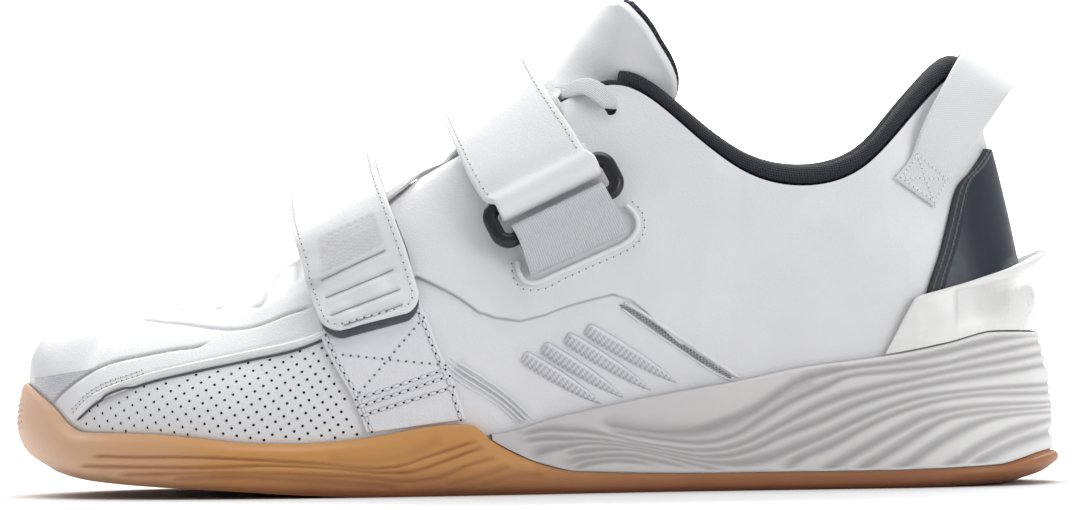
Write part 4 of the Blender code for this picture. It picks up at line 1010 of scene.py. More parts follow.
def make_perforations():
    rows, columns = np.meshgrid(np.arange(-40, 41), np.arange(-40, 41), indexing="ij")
    xz = (np.array(PANEL_START) + rows.reshape(-1, 1) * ROW_STEP + columns.reshape(-1, 1) * COLUMN_STEP)
    rear = np.interp(-xz[:, 1], [-z for _, z in PANEL_REAR], [x for x, _ in PANEL_REAR])
    top = np.interp(xz[:, 0], [x for x, _ in STEP], [z for _, z in STEP])
    xz = xz[(xz[:, 0] < rear - 1.2) & (xz[:, 1] < top - 0.6) & (xz[:, 0] > -130)
            & (xz[:, 1] > smooth(RIM, xz[:, 0]) + 0.7)]
    at = locate(xz)
    back = last(at[:, 0], at[:, 1])[:, [0, 2]]
    at = at[np.linalg.norm(back - xz, axis=1) < 0.3]
    # near-black plugs at the perforations: painted shade inside the holes
    shape, faces = plug(HOLE_RADIUS, 0.05, 0.6)
    t = np.concatenate([at[:, 0], ROUND - at[:, 0]])
    v = np.concatenate([at[:, 1]] * 2)
    ahead = np.repeat([[1.0, 0, 0.2]], len(t), 0)
    made = scatter("side_perforations", shape, faces, skin(t, v), ahead, outward(t, v), PERFORATION)
    piece(made, "upper")


def sole_stops(first, spacing):
    """x of the sections of a sole, closer together round the toe and the heel."""
    toe = ring(np.arange(TIP, BALL - 0.5, -0.028))[:, 0]
    heel = ring(np.arange(3.0, -0.001, -0.02))[:, 0]
    middle = np.arange(toe[-1] + spacing, heel[0], spacing)
    stops = np.concatenate([toe, middle, heel])
    return stops[stops >= first]


def shoulders(x):
    """The lateral and the medial places t whose feet lie at x."""
    t = np.linspace(0, TIP, 2801)
    lateral, medial = ring(t)[:, 0], ring(ROUND - t)[:, 0]
    return np.interp(-x, -lateral, t), ROUND - np.interp(-x, -medial, t)


# The valleys between the folds of the midsole, in side view
FOLDS = [
    [(19.4, 19.9), (28.4, 18.0), (36.8, 17.1), (46.8, 17.7), (54.3, 20.1), (61.9, 23.3),
     (69.4, 28.1), (74.5, 31.1), (82.0, 33.3), (89.8, 34.6), (100.6, 35.8), (114.1, 38.1),
     (125.0, 40.6), (133.1, 42.1), (146.1, 43.3)],
    [(21.9, 17.3), (28.3, 16.2), (36.8, 14.8), (49.3, 14.1), (56.8, 16.1), (64.3, 20.5),
     (71.9, 24.9), (82.0, 29.3), (88.6, 32.0), (97.8, 33.1), (106.0, 33.9), (116.8, 35.3),
     (124.9, 37.1), (133.0, 38.6), (146.0, 40.3)],
    [(-4.0, 17.2), (3.9, 18.4), (6.9, 18.3), (14.4, 17.7), (21.8, 16.1), (29.3, 14.2), (36.8, 12.9),
     (44.2, 11.8), (51.7, 11.9), (59.2, 13.8), (66.8, 17.4), (74.3, 21.3), (81.9, 24.7),
     (89.7, 27.3), (97.8, 29.4), (108.6, 31.4), (122.2, 33.9), (130.3, 35.1), (146.0, 37.1)],
    [(-3.4, 15.2), (3.9, 15.9), (6.9, 15.8), (16.8, 15.4), (26.8, 13.8), (36.8, 11.8), (46.7, 10.0),
     (54.2, 10.1), (61.7, 12.0), (69.3, 15.4), (81.8, 20.2), (89.6, 23.6), (97.7, 26.2),
     (105.9, 28.2), (116.7, 30.2), (127.5, 31.7), (145.9, 33.8)],
    [(-1.0, 11.6), (3.8, 12.9), (6.8, 13.3), (14.3, 14.2), (21.8, 13.7), (31.8, 11.9), (41.7, 9.7), (49.2, 8.2),
     (56.7, 7.8), (64.2, 9.0), (74.2, 12.6), (81.8, 15.6), (86.8, 17.9), (92.3, 20.3),
     (100.4, 23.4), (108.5, 25.7), (119.4, 27.2), (130.2, 28.1), (146.4, 28.4)],
    [(8.8, 11.5), (13.3, 12.1), (21.8, 12.4), (29.3, 11.7), (36.7, 9.9), (44.2, 7.8), (49.2, 6.5),
     (56.6, 4.9)],
    [(8.7, 8.8), (11.8, 9.7), (19.3, 10.6), (26.7, 10.5), (34.2, 8.9), (41.7, 7.1), (46.6, 5.5)],
    [(10.7, 7.0), (14.2, 8.2), (21.7, 9.1), (29.2, 8.5), (36.7, 6.6)],
    [(70.5, 6.6), (75.9, 9.5), (84.0, 12.8), (92.2, 17.0), (100.4, 20.7), (108.5, 23.3),
     (116.6, 25.1), (124.7, 26.0), (148.0, 26.0)],
    [(79.1, 3.7), (86.7, 8.2), (94.8, 12.7), (103.0, 16.9), (111.2, 20.6), (119.3, 22.3),
     (130.1, 23.3), (149.0, 23.3)],
    [(89.3, 4.1), (94.8, 7.3), (102.9, 12.0), (111.1, 16.8), (116.6, 19.4), (124.7, 20.9),
     (135.5, 21.6), (149.3, 21.9)],
    [(99.0, 4.0), (105.6, 7.1), (113.7, 12.4), (121.9, 16.6), (130.1, 19.2), (138.2, 20.2),
     (149.2, 20.3)],
    [(112.5, 3.8), (119.1, 6.9), (127.2, 11.7), (135.4, 15.3), (148.9, 18.4)],
    [(121.7, 4.2), (129.9, 8.7), (138.1, 12.1), (148.6, 14.6)],
]
GUM_MARKS = [
    ([(-128, 12.6), (-119.9, 12.3), (-96.9, 12.0), (-77.7, 11.0), (-62.4, 10.0), (-47.0, 8.4), (-38.6, 8.9),
      (-31.6, 11.1), (-20.0, 14.7), (-16.2, 15.8)], 0.55, 0.8),
    ([(-132, 9.7), (-120.0, 9.5), (-96.9, 9.2), (-73.9, 9.4), (-58.5, 8.4), (-43.2, 7.0), (-35.5, 7.3),
      (-27.8, 9.5), (-13.9, 14.3)], 0.55, 0.8),
    ([(-120.0, 7.2), (-89.3, 7.5), (-66.2, 6.9), (-50.9, 6.0), (-35.6, 4.6), (-27.9, 5.6),
      (-20.1, 8.6), (-10.9, 11.1)], 0.55, 0.7),
    ([(-104.7, 6.0), (-89.3, 6.5), (-66.3, 5.4), (-50.9, 4.0), (-39.4, 2.7)], 0.8, 0.7),
    ([(-25.6, 3.0), (-16.3, 5.8), (-7.9, 8.0)], 0.7, 0.5),
    ([(-16.2, 2.4), (-12.5, 3.9), (-4.8, 5.5), (1.3, 5.7)], 0.7, 0.4),
    ([(-60, 10.9), (-48, 10.2), (-38, 11.6), (-27, 16.2)], 1.6, 0.35),
]


def folds(x, z):
    """How far the side lies in the valleys between its folds, in millimetres, and how much shade is painted into
    them.
    """
    grid = np.linspace(-20, 156, 600)
    lines = [curve(line, 90) for line in FOLDS]
    height = np.array([np.interp(grid, line[:, 0], line[:, 1]) for line in lines])
    near = np.array([ease((grid - line[0, 0] + 4) / 7) * ease((line[-1, 0] + 9 * (line[-1, 0] > 140) - grid) / 9)
                     for line in lines])
    lean = 1 / np.sqrt(1 + np.gradient(height, grid, axis=1) ** 2)
    apart = np.abs(height[:, None] - height[None]) + 60 * (near[None] < 0.3)
    apart += 60 * np.eye(len(lines))[:, :, None]
    reach = np.clip(0.46 * apart.min(1) * lean, 0.42, 1.7)
    push, dark = np.zeros(x.shape), np.zeros(x.shape)
    for rows in zip(height, near, lean, reach):
        at, weight, slope, width = (np.interp(x, grid, row) for row in rows)
        form = weight * np.exp(-((z - at) * slope / width) ** 2)
        push = np.maximum(push, 0.85 * width * form)
        dark = np.maximum(dark, 0.62 * form ** 1.4)
    return push, dark


def push_side(points, t, marks, fade, folded_side=False):
    """The side's relief: the lines of the side view, along the outward direction in plan."""
    # each mark's painted shade grows with its depth; the folds add their own
    lines = [(curve(line, 60), width, depth, 0.75 * min(depth, 1)) for line, width, depth in marks]
    push, dark = engrave(points[..., [0, 2]], lines, 0.03)
    if folded_side:
        valley, shade = folds(points[..., 0], points[..., 2])
        push, dark = push - valley, np.maximum(dark, shade)
    away = outline(t, 1.0) - outline(t, 0.0)
    moved = points.copy()
    moved[..., :2] += (push * fade)[..., None] * away[:, None]
    return moved, dark * fade


def close_sole(name, look, slot, x, left, right, dark_left, dark_right, bed_rows, tread):
    """A sole from the sections of its two sides, each running from the ground to the inner edge."""
    share = np.linspace(0, 1, bed_rows)[:, None, None]
    ground = (left[:, 0] * (1 - share) + right[:, 0] * share).transpose(1, 0, 2)
    ground = tread(ground, share[:, 0, 0])
    inner = (left[:, -1] * (1 - share[[0, -1]]) + right[:, -1] * share[[0, -1]]).transpose(1, 0, 2)
    sections = np.concatenate([left, inner[:, 1:], right[:, ::-1][:, 1:], ground[:, ::-1][:, 1:]], 1)
    dark = np.concatenate([dark_left, np.zeros((len(x), 1)), dark_right[:, ::-1][:, 1:],
                           np.zeros((len(x), bed_rows - 1))], 1)
    around = np.stack([lengths(section) for section in sections])
    uv = np.stack([np.broadcast_to(x[:, None], around.shape), around], -1)
    made = make(name, sections, grid_faces(*sections.shape[:2]), look, uv, dark)
    return piece(made, slot, name.replace("_body", ""))


GUM_FINE = 56


def gum_side(t, x):
    """The gum's side at each place: tread edge, shoulder, belly, top edge and inner wall."""
    row = {name: smooth(GUM, x, k) for k, name in enumerate(Gum._fields) if k}
    top = smooth(GUM_TOP, x)
    edge = outline(t, row["edge"])
    points = [np.concatenate([edge, smooth(BOTTOM, edge[:, 0])[:, None]], 1),
              np.concatenate([outline(t, row["shoulder"]), row["shoulder_z"][:, None]], 1)]
    hump = np.exp(-((x + 45) / 32) ** 2)
    for part, out in ((0.0, 0.0), (0.33, -0.3), (0.66, 0.05)):
        stand = row["wide"] + (row["top"] - row["wide"]) * part ** 2 + out * hump
        height = row["wide_z"] + part * (top - row["wide_z"])
        points.append(np.concatenate([outline(t, stand), height[:, None]], 1))
    points.append(np.concatenate([outline(t, row["top"] + 0.25), top[:, None] - 0.8], 1))
    points.append(np.concatenate([outline(t, row["top"] - 0.3), top[:, None]], 1))
    points = np.stack(points, 1)
    outside = np.array([curve(section, GUM_FINE) for section in points])
    inside = [np.concatenate([outline(t, row["inner"]), z[:, None]], 1)
              for z in (top, np.where(x < GUM_BED[0][0], smooth(BED, x), smooth(GUM_BED, x)))]
    moved, dark = push_side(outside, t, GUM_MARKS, np.linspace(0, 1, GUM_FINE) > 0.06)
    ribs = ease((-147.2 - moved[..., 0]) / 1.2) * ease((moved[..., 2] - 18) / 3) * ease(
        (29 - moved[..., 2]) / 2)
    away = outline(t, 1.0) - outline(t, 0.0)
    moved[..., :2] += (0.3 * ribs * np.sin(math.tau * moved[..., 2] / 1.7))[..., None] * away[:, None]
    return (np.concatenate([moved, np.stack(inside, 1)], 1),
            np.concatenate([np.maximum(dark, 0), np.zeros((len(t), 2))], 1))


TREAD_DEPTH = 0.9
TREAD_PITCH = 6.0


def tread(ground, share):
    """Wavy grooves across the sole's underside, none at its edges nor on the two standing faces."""
    x, y = ground[..., 0], ground[..., 1]
    phase = x / TREAD_PITCH + 0.45 * np.sin(math.tau * y / 22)
    groove = ease((np.cos(math.tau * phase) - 0.35) / 0.5)
    groove = groove * ease(np.minimum(share, 1 - share) / 0.07)
    made = ground.copy()
    made[..., 2] += TREAD_DEPTH * groove
    return made


def make_outsole():
    x = sole_stops(-150, 1.0)
    (t_left, t_right) = shoulders(x)
    left, dark_left = gum_side(t_left, x)
    right, dark_right = gum_side(t_right, x)
    close_sole("outsole_body", GUM_LOOK, "gum", x, left, right, dark_left, dark_right, 56, tread)


MID_FINE = 110
HOLLOW = [(20, 19.5), (32, 17.6), (46, 17.0), (58, 20.2), (68, 26.0), (80, 31.0)]


def mid_side(t, x):
    """The midsole's side at each place: its inner foot, the waves of its flank and its rim."""
    low_out, half, rim_out = (smooth(MID, x, k) for k in (1, 2, 3))
    inner = smooth(GUM, x, 7) - GAP
    low, rim = smooth(GUM_TOP, x) + GAP, smooth(RIM, x)
    floor = np.where(x < GUM_BED[0][0], smooth(BED, x), smooth(GUM_BED, x)) + GAP
    foot = [np.concatenate([outline(t, inner), z[:, None]], 1) for z in (floor, low)]
    share = np.linspace(0, 1, MID_FINE)
    stand = (low_out[:, None] * (1 - share) ** 2 + 2.6 * half[:, None] * share * (1 - share)
             + rim_out[:, None] * share ** 2) / (1 + 0.6 * share * (1 - share))
    stand -= 0.8 * np.clip((share - 0.975) / 0.025, 0, 1) ** 2
    stand -= 0.3 * np.clip((0.03 - share) / 0.03, 0, 1) ** 2
    flank = np.stack([np.concatenate([outline(t, stand[:, k]),
                                      (low + share[k] * (rim - low))[:, None]], 1)
                      for k in range(MID_FINE)], 1)
    tall = np.clip((rim - low) / 9, 0, 1)[:, None]
    fade = tall * ease(share / 0.04) * ease((1 - share) / 0.05)
    # the broad hollow under the rim also gets painted shade
    moved, dark = push_side(flank, t, [(HOLLOW, 2.6, 0.5)], fade, True)
    bed = [np.concatenate([outline(t, np.full(len(t), CUP)), z[:, None]], 1)
           for z in (rim, smooth(BED, x))]
    lit = np.zeros((len(t), 2))
    return (np.concatenate([np.stack(foot, 1), moved, np.stack(bed, 1)], 1),
            np.concatenate([lit, dark, lit], 1))


def make_midsole():
    x = sole_stops(FRONT_OF_MIDSOLE, 0.74)
    x[0] = FRONT_OF_MIDSOLE
    (t_left, t_right) = shoulders(x)
    left, dark_left = mid_side(t_left, x)
    right, dark_right = mid_side(t_right, x)
    close_sole("midsole_body", FOAM, "midsole", x, left, right, dark_left, dark_right, 6,
               lambda ground, share: ground)


INSOLE = 3.2


def make_insole():
    """The sockliner, a little hollow in the middle and raised at its edge."""
    x = sole_stops(-150, 1.6)[::3]
    sides = []
    for t in shoulders(x):
        foot = outline(t, np.full(len(t), -WALL - 0.9))
        z = smooth(BED, foot[:, 0]) + 0.5
        top = outline(t, np.full(len(t), -WALL - 1.3))
        sides.append(np.stack([np.concatenate([foot, z[:, None]], 1),
                               np.concatenate([foot, z[:, None] + INSOLE - 0.5], 1),
                               np.concatenate([top, z[:, None] + INSOLE], 1)], 1))
    left, right = sides
    share = np.linspace(0, 1, 24)[None, :, None]
    top = left[:, -1:] * (1 - share) + right[:, -1:] * share
    top[..., 2] -= 0.7 * np.sin(np.pi * share[..., 0]) ** 0.6
    sections = np.concatenate([left, top[:, 1:-1], right[:, ::-1], left[:, :1]], 1)
    around = np.stack([lengths(section) for section in sections])
    uv = np.stack([np.broadcast_to(x[:, None], around.shape), around], -1)
    made = make("sockliner", sections, grid_faces(*sections.shape[:2]), FOOTBED, uv,
                np.zeros(around.shape))
    piece(made, "sockliner", "insole")


# The tongue's crest over the line between the throat's edges, then the rows of its free end
THROAT = [(10.25, -3.8), (9.85, -3.2), (9.4, -2.2), (8.9, -2.4), (8.3, -2), (7.7, 0.5), (7.1, 7)]
FREE_END = [((10.5, 0.5, 125), (19.5, 14.6, 117), (36, 17.2, 104)),
            ((15, 0.5, 131), (23.5, 17.0, 124.5), (41.5, 18.6, 113)),
            ((18.8, 0.5, 136), (24.5, 18.5, 132.4), (35.5, 24.5, 127)),
            ((21.6, 0.5, 139.6), (23.4, 14.5, 139.6), (27.6, 25.5, 139))]


def tongue_rows():
    rows = []
    for t, dome in THROAT:
        heights, back = ((0.8, 0.9), WALL + 0.8) if t > BALL else ((0.86, 1.0), WALL + 0.7)
        ends = [[last(at, v) - (back + (0.3 if v == 0.86 else 0)) * outward(at, v)
                 for v in heights] for at in (t, ROUND - t)]
        middle = (last(t, 1.0) + last(ROUND - t, 1.0)) / 2
        slope = last(t - 0.2, 1.0) - last(t + 0.2, 1.0)
        up = np.array([-slope[2], 0, slope[0]]) / math.hypot(slope[0], slope[2])
        rows.append(curve([ends[0][0], ends[0][1], middle + dome * up, ends[1][1], ends[1][0]], 31))
    mirror = np.array([1, -1, 1])
    for crest, flank, edge in FREE_END:
        rows.append(curve([np.array(edge) * mirror, np.array(flank) * mirror, crest, flank, edge],
                          31))
    return np.array(rows)


def make_tongue():
    rows = tongue_rows()
    inside = (10, 0, 90)
    face = Band(rows, -2.6, 0.0, inside, 1.1, (0, 9), 1.2)
    made = face.make("tongue_face", TONGUE_LOOK)
    piece(made, "tongue", "tongue")
    back = Band(rows, -4.3, -2.7, inside, 0.8, (0, 9), 1.2)
    made = back.make("tongue_back", KNIT)
    piece(made, "knit", "tongue_lining")
    return face


def make_collar():
    """The padded lining of the collar: a braided binding over its top and a knit inside."""
    t = np.linspace(-6.15, 6.15, 250)
    padding = 0.35 + 0.65 * np.clip((6.15 - np.abs(t)) / 1.2, 0, 1)
    edge, away = last(t, 1.0), outward(t, 1.0)
    up = unit(edge - last(t, 0.97))
    back = WALL + 0.6

    def deep(v, depth):
        return last(t, v) - np.broadcast_to(depth, t.shape)[:, None] * outward(t, v)

    def beyond(out, rise):
        return edge + np.broadcast_to(out, t.shape)[:, None] * away + rise * up

    ring_points = np.stack([
        deep(0.62, back), deep(0.8, back), deep(0.985, back), beyond(-back, 0.5),
        beyond(-0.4, 1.0), beyond(0.0, 3.4), beyond(-1.6, 5.8), beyond(-back - 2.2 * padding, 5.8),
        beyond(-back - 4.6 * padding, 3.4), beyond(-back - 5.2 * padding, 0),
        deep(0.85, back + 4.6 * padding), deep(0.62, back + 1.6)], 1)
    around = []
    for section in ring_points:
        rolled = curve(section[2:], 44)
        around.append(np.concatenate([section[:2], rolled, section[:1]]))
    sections = np.array(around)
    ends = [np.repeat(sections[k:k + 1].mean(1, keepdims=True), sections.shape[1], 1)
            for k in (0, -1)]
    sections = np.concatenate([ends[0], sections, ends[1]])
    along = lengths(sections.mean(1))
    over = np.array([lengths(section) for section in sections])
    uv = np.stack([np.broadcast_to(along[:, None], over.shape), over], -1)
    faces = grid_faces(*sections.shape[:2])
    column = faces[:, 0] % sections.shape[1]
    kinds = np.where((column > 3) & (column < 30), 1, 0)
    made = make("collar_padding", sections, faces, [KNIT, BRAID], uv, np.zeros(over.shape), kinds)
    piece(made, "knit", "collar_lining")


def make_throat_binding():
    """The braided binding that runs on from the collar round the edge of the throat."""
    runs = []
    for medial in (False, True):
        t = np.linspace(5.9, 7.15, 40)
        at = ROUND - t if medial else t
        edge, away = last(at, 1.0), outward(at, 1.0)
        up = unit(edge - last(at, 0.97))
        runs.append((edge - 1.1 * away + 0.9 * up, away, 1.75))
    cords("throat_binding", runs, BRAID, "knit", 16)


def on_side(rows, count, out, medial=False):
    share = np.linspace(0, 1, count)
    return np.array([side(x0 + (x1 - x0) * share, z0 + (z1 - z0) * share, out, medial)
                     for x0, z0, x1, z1 in rows])


def across_rows(rows, count=5):
    share = np.linspace(0, 1, count)[:, None]
    return np.array([np.array(a) * (1 - share) + np.array(b) * share for a, b in rows])


STRAP = 2.2
STRAP_BASE = [(-48.2, 18.3, -20.2, 21.6), (-52.5, 29, -23.8, 33), (-57, 37, -27.4, 41.6),
              (-60.2, 44, -31, 51), (-61.5, 51, -34.5, 58)]
STRAP_END = [(-58.6, 44.9, -31.8, 51.9), (-59.9, 48.4, -32.5, 56.0), (-61.2, 52.2, -33.6, 60.4)]
CORNER = 5.5
HOOK_END = [(-58.0, 43.3, -32.0, 50.2), (-59.3, 46.6, -32.6, 54.4), (-60.6, 50.4, -33.7, 58.8)]
STRAP_TOP = [((-63.6, -42.8, 60), (-35.6, -45.5, 68.4)), ((-66.4, -35.9, 67.5), (-39.7, -37, 79.7)),
             ((-68.9, -20.5, 77), (-43.6, -20, 90.7)), ((-69.4, -1, 82.5), (-44.9, 0, 96.5)),
             ((-69, 19, 78), (-43.8, 20, 91)), ((-68, 37.5, 66.5), (-40, 40.5, 78.5))]
STRAP_MEDIAL = [(-64, 51, -35, 61), (-60.5, 42, -30.5, 51), (-57, 34, -27, 41),
                (-51, 25, -23.5, 32), (-47, 18.6, -20.4, 22.5)]
STRAP_LINES = [[(-61.6, 61.3), (-41.6, 70.3)], [(-60.3, 56.4), (-39.4, 64.7)],
               [(-58.9, 51.5), (-37.5, 59.2)], [(-55.0, 48.6), (-36.9, 54.9)]]
KNURL_CORNERS = [(-61.4, 63.4), (-42.4, 72.0), (-45.2, 80.6), (-62.2, 73.2)]
BASE_CROSS = [[(-54.4, 39.9), (-25.7, 36.9)], [(-31.5, 50.2), (-50.0, 29.5)]]
BASE_ROWS = [[(-51.2, 27.5), (-25.7, 35.7)], [(-50.6, 25.4), (-24.6, 33.9)],
             [(-49.5, 23.1), (-23.5, 30.8)]]


def knurl():
    """Wavy raised rows in the patch over the strap's lines, in side view."""
    first, second, third, fourth = (np.array(corner) for corner in KNURL_CORNERS)
    marks = []
    for row in np.linspace(0.04, 0.96, 9):
        start, end = first + row * (fourth - first), second + row * (third - second)
        along = np.linspace(0, 1, 60)[:, None]
        sway = 0.3 * np.sin(math.tau * along * np.linalg.norm(end - start) / 2.1 + 9 * row)
        marks.append((start + along * (end - start) + sway * np.array([[-0.4, 0.9]]), 0.32, 0.3, 0.26))
    return marks


def make_straps(sewing, bold, cross):
    base = Band(on_side(STRAP_BASE, 9, GAP + 0.4), 0, OVERLAY, (0, 0, 40), 0.4, (0, 0), 0.8)
    made = base.make("strap_base_band", BASE_LOOK)
    piece(made, "upper", "strap_base")
    for b, offset in ((0.0, 1.5), (1.0, -1.5)):
        bold.row(*base.line([0.0, 1.0], b + offset / base.width), 2.6)

    def on_base(line, lift=GAP + 0.4 + OVERLAY):
        return trace(line, out=lift)

    for line in BASE_CROSS:
        cross.row(*on_base(line), 2.2)
    for line in BASE_ROWS:
        bold.row(*on_base(line), 2.6)
    free = on_side(STRAP_END, 9, GAP + OVERLAY + 0.9)
    top = across_rows(STRAP_TOP, 9)
    (x0, _, z0), (x1, _, z1) = STRAP_TOP[0]
    top[0] = (top[0] + 2 * on_side([(x0, z0, x1, z1)], 9, GAP + OVERLAY + 0.9)[0]) / 3
    sewn = on_side(STRAP_MEDIAL, 9, GAP + 0.6, True)
    rows = np.concatenate([free, top, sewn])
    strap = Band(rows, 0.7, STRAP + 0.1, (-50, 0, 40), 0.75, (CORNER, 0), 0.53)
    # the lines' grooves and the knurl's rows get painted shade
    marks = [(curve(line, 24), 0.75, 0.4, 0.3) for line in STRAP_LINES]
    marks += [(curve([(x + 0.5, z - 1.5) for x, z in line], 24), 0.8, -0.35, 0) for line in STRAP_LINES]
    marks += knurl()
    made = strap.make("strap_lower_band", STRAP_LOOK, marks, flat_marks=True)
    piece(made, "strap", "strap_lower")
    # grey cords in the debossed lines: painted shade in the grooves
    cords("strap_lines", [(*strap.find(curve(line, 10), -0.34), 0.2) for line in STRAP_LINES],
          GROOVE_SHADE_LOOK, "strap")
    sewing.row(*strap.line(*strap.around(1.7)), 2.2)
    # the grey hook and loop layer shows below the strap's end; its dark grey is partly its own colour, partly
    # painted shadow under the strap
    hook = Band(np.concatenate([on_side(HOOK_END, 9, GAP + OVERLAY + 0.2), top[:2] * 0.985]), 0.0, 0.9,
                (-50, 0, 40), 0.4, (CORNER, 0), 0.8)
    piece(hook.make("strap_hook_layer", HOOK), "strap")


UPPER_TOP = [((-13.8, -41.5, 83.5), (15.2, -38.5, 97.6)), ((-17.2, -39.2, 88.5), (12.4, -35.5, 102.2)),
             ((-20.9, -31, 96.5), (6.6, -28, 111)), ((-24, -15, 103.5), (1.2, -13, 120.2)),
             ((-25, 1, 106.3), (-0.5, 0.5, 124.1)), ((-24, 18, 103.8), (1.2, 15, 120.4)),
             ((-21, 32.5, 97), (6.6, 29.5, 111))]
UPPER_MEDIAL = [(-17, 86, 12.4, 99.5), (-12, 76, 17, 88), (-7, 66, 22, 77.5)]
RING_ENDS = (-9.5, 74.4), (20.9, 88.8)
RING_HALF_WIDTH = 5.4
RING_BAR = 2.0
RING_OUT = 5.6
WEBBING = 1.1
SLOT = (-1.0, 61.6), (26.8, 73.3)
SLOT_RIM = [(-4.6, 65.6), (-4.3, 62.6), (-2.6, 60.1), (0.6, 59.8), (4.6, 61.4), (8.6, 63.1),
            (12.6, 64.8), (16.6, 66.5), (20.6, 68.2), (24.6, 69.9), (28.0, 72.0), (29.8, 75.2),
            (29.0, 78.6), (26.6, 81.0)]
RIM_STITCH = [(-6.3, 65.4), (-6.0, 61.6), (-3.8, 58.4), (1.0, 57.8), (9.4, 61.3), (17.4, 64.7),
              (25.4, 68.1), (29.6, 70.6), (31.8, 75.2), (31.0, 79.6), (28.4, 82.4)]


def ring_frame():
    """The ring's centre and its directions: along its long side, up the strap and outward."""
    (x0, z0), (x1, z1) = RING_ENDS
    first, second = side(x0, z0, RING_OUT)[0], side(x1, z1, RING_OUT)[0]
    centre = (first + second) / 2
    along = (second - first) / np.linalg.norm(second - first)
    out = centre - side((x0 + x1) / 2, (z0 + z1) / 2)[0]
    out = unit(out - np.dot(out, along) * along)
    up = np.cross(out, along)
    return centre, along, up * math.copysign(1, up[2]), out, np.linalg.norm(second - first) / 2


def fold(bar, up, out, half, along, radius, back):
    rows = [bar - radius * out + back * up]
    rows += [bar + radius * (math.cos(a) * -out - math.sin(a) * up)
             for a in np.radians([0, 30, 60, 90, 120, 150, 180])]
    return [(row - half * along, row + half * along) for row in rows]


def make_ring_group(sewing):
    centre, along, up, out, half = ring_frame()
    corner = 3.4
    path, facing = [], []
    for i, (a, b) in enumerate([(1, 1), (-1, 1), (-1, -1), (1, -1)]):
        middle = centre + a * (half + 2.0 - corner) * along + b * (RING_HALF_WIDTH - corner) * up
        for k in range(13):
            turn = math.radians(90 * i + 7.5 * k)
            path.append(middle + corner * (math.cos(turn) * along + math.sin(turn) * up))
            facing.append(out)
    path = np.array(path)
    ends = ease((np.abs((path - centre) @ along) - half + 3) / 3)
    made = tube("strap_ring_bar", path, RING_BAR * (0.92 + 0.16 * ends), BLACK, True, 20, 0.95,
                np.array(facing))
    piece(made, "ring", "strap_ring")

    bar = centre + RING_HALF_WIDTH * up
    rows = across_rows(fold(bar, up, out, half - 0.8, along, RING_BAR + 0.9 + STRAP / 2, 7) + UPPER_TOP,
                       9)
    sewn = on_side(UPPER_MEDIAL, 9, GAP + 0.2 + STRAP / 2, True)
    strap = Band(np.concatenate([rows, sewn]), -STRAP / 2, STRAP / 2, (0, 0, 60), 0.8, (0, 0), 0.8)
    made = strap.make("strap_upper_band", STRAP_LOOK)
    piece(made, "strap", "strap_upper")
    for b in (1.8 / strap.width, 1 - 1.8 / strap.width):
        sewing.row(*strap.line([0.17, 0.98], b), 2.3)

    bar = centre - RING_HALF_WIDTH * up
    first, second = side(*SLOT[0])[0], side(*SLOT[1])[0]
    rows = fold(bar, -up, out, half - 2.2, along, RING_BAR + 0.85 + WEBBING / 2, 2)
    low = 0.4 + WEBBING / 2
    inner = (first + low * out, second + low * out)
    outer = (first + (low + WEBBING + 0.5) * out, second + (low + WEBBING + 0.5) * out)
    band = Band(across_rows([inner, *rows, outer], 5), -WEBBING / 2, WEBBING / 2,
                tuple(bar - 3 * out), 0.35, (0, 0), 0.6)
    made = band.make("ring_webbing_band", WEBBING_LOOK)
    piece(made, "webbing", "ring_webbing")

    path = evenly(curve([side(x, z, 1.15)[0] for x, z in SLOT_RIM], 60), 0.8)
    made = tube("webbing_rim_piping", path, 0.8, UPPER, sides=12)
    piece(made, "upper", "webbing_rim")
    sewing.row(*trace(RIM_STITCH), 2.2)


EYELETS = (9.45, 8.92, 7.68, 6.92, 6.17)
EYELET_V = 0.9
TOP_CROSSING = 7.3
EYELET_RADIUS = 1.7
LACE_WIDTH = 6.0
LACE_THICK = 1.2


def crest(t):
    """The middle of the tongue's outside at place t of the throat, and the direction up from it."""
    dome = float(smooth(sorted(THROAT + [(6.6, 13.5)]), t))
    slope = last(t - 0.2, 1.0) - last(t + 0.2, 1.0)
    up = np.array([-slope[2], 0, slope[0]]) / math.hypot(slope[0], slope[2])
    return (last(t, 1.0) + last(ROUND - t, 1.0)) / 2 + dome * up, up


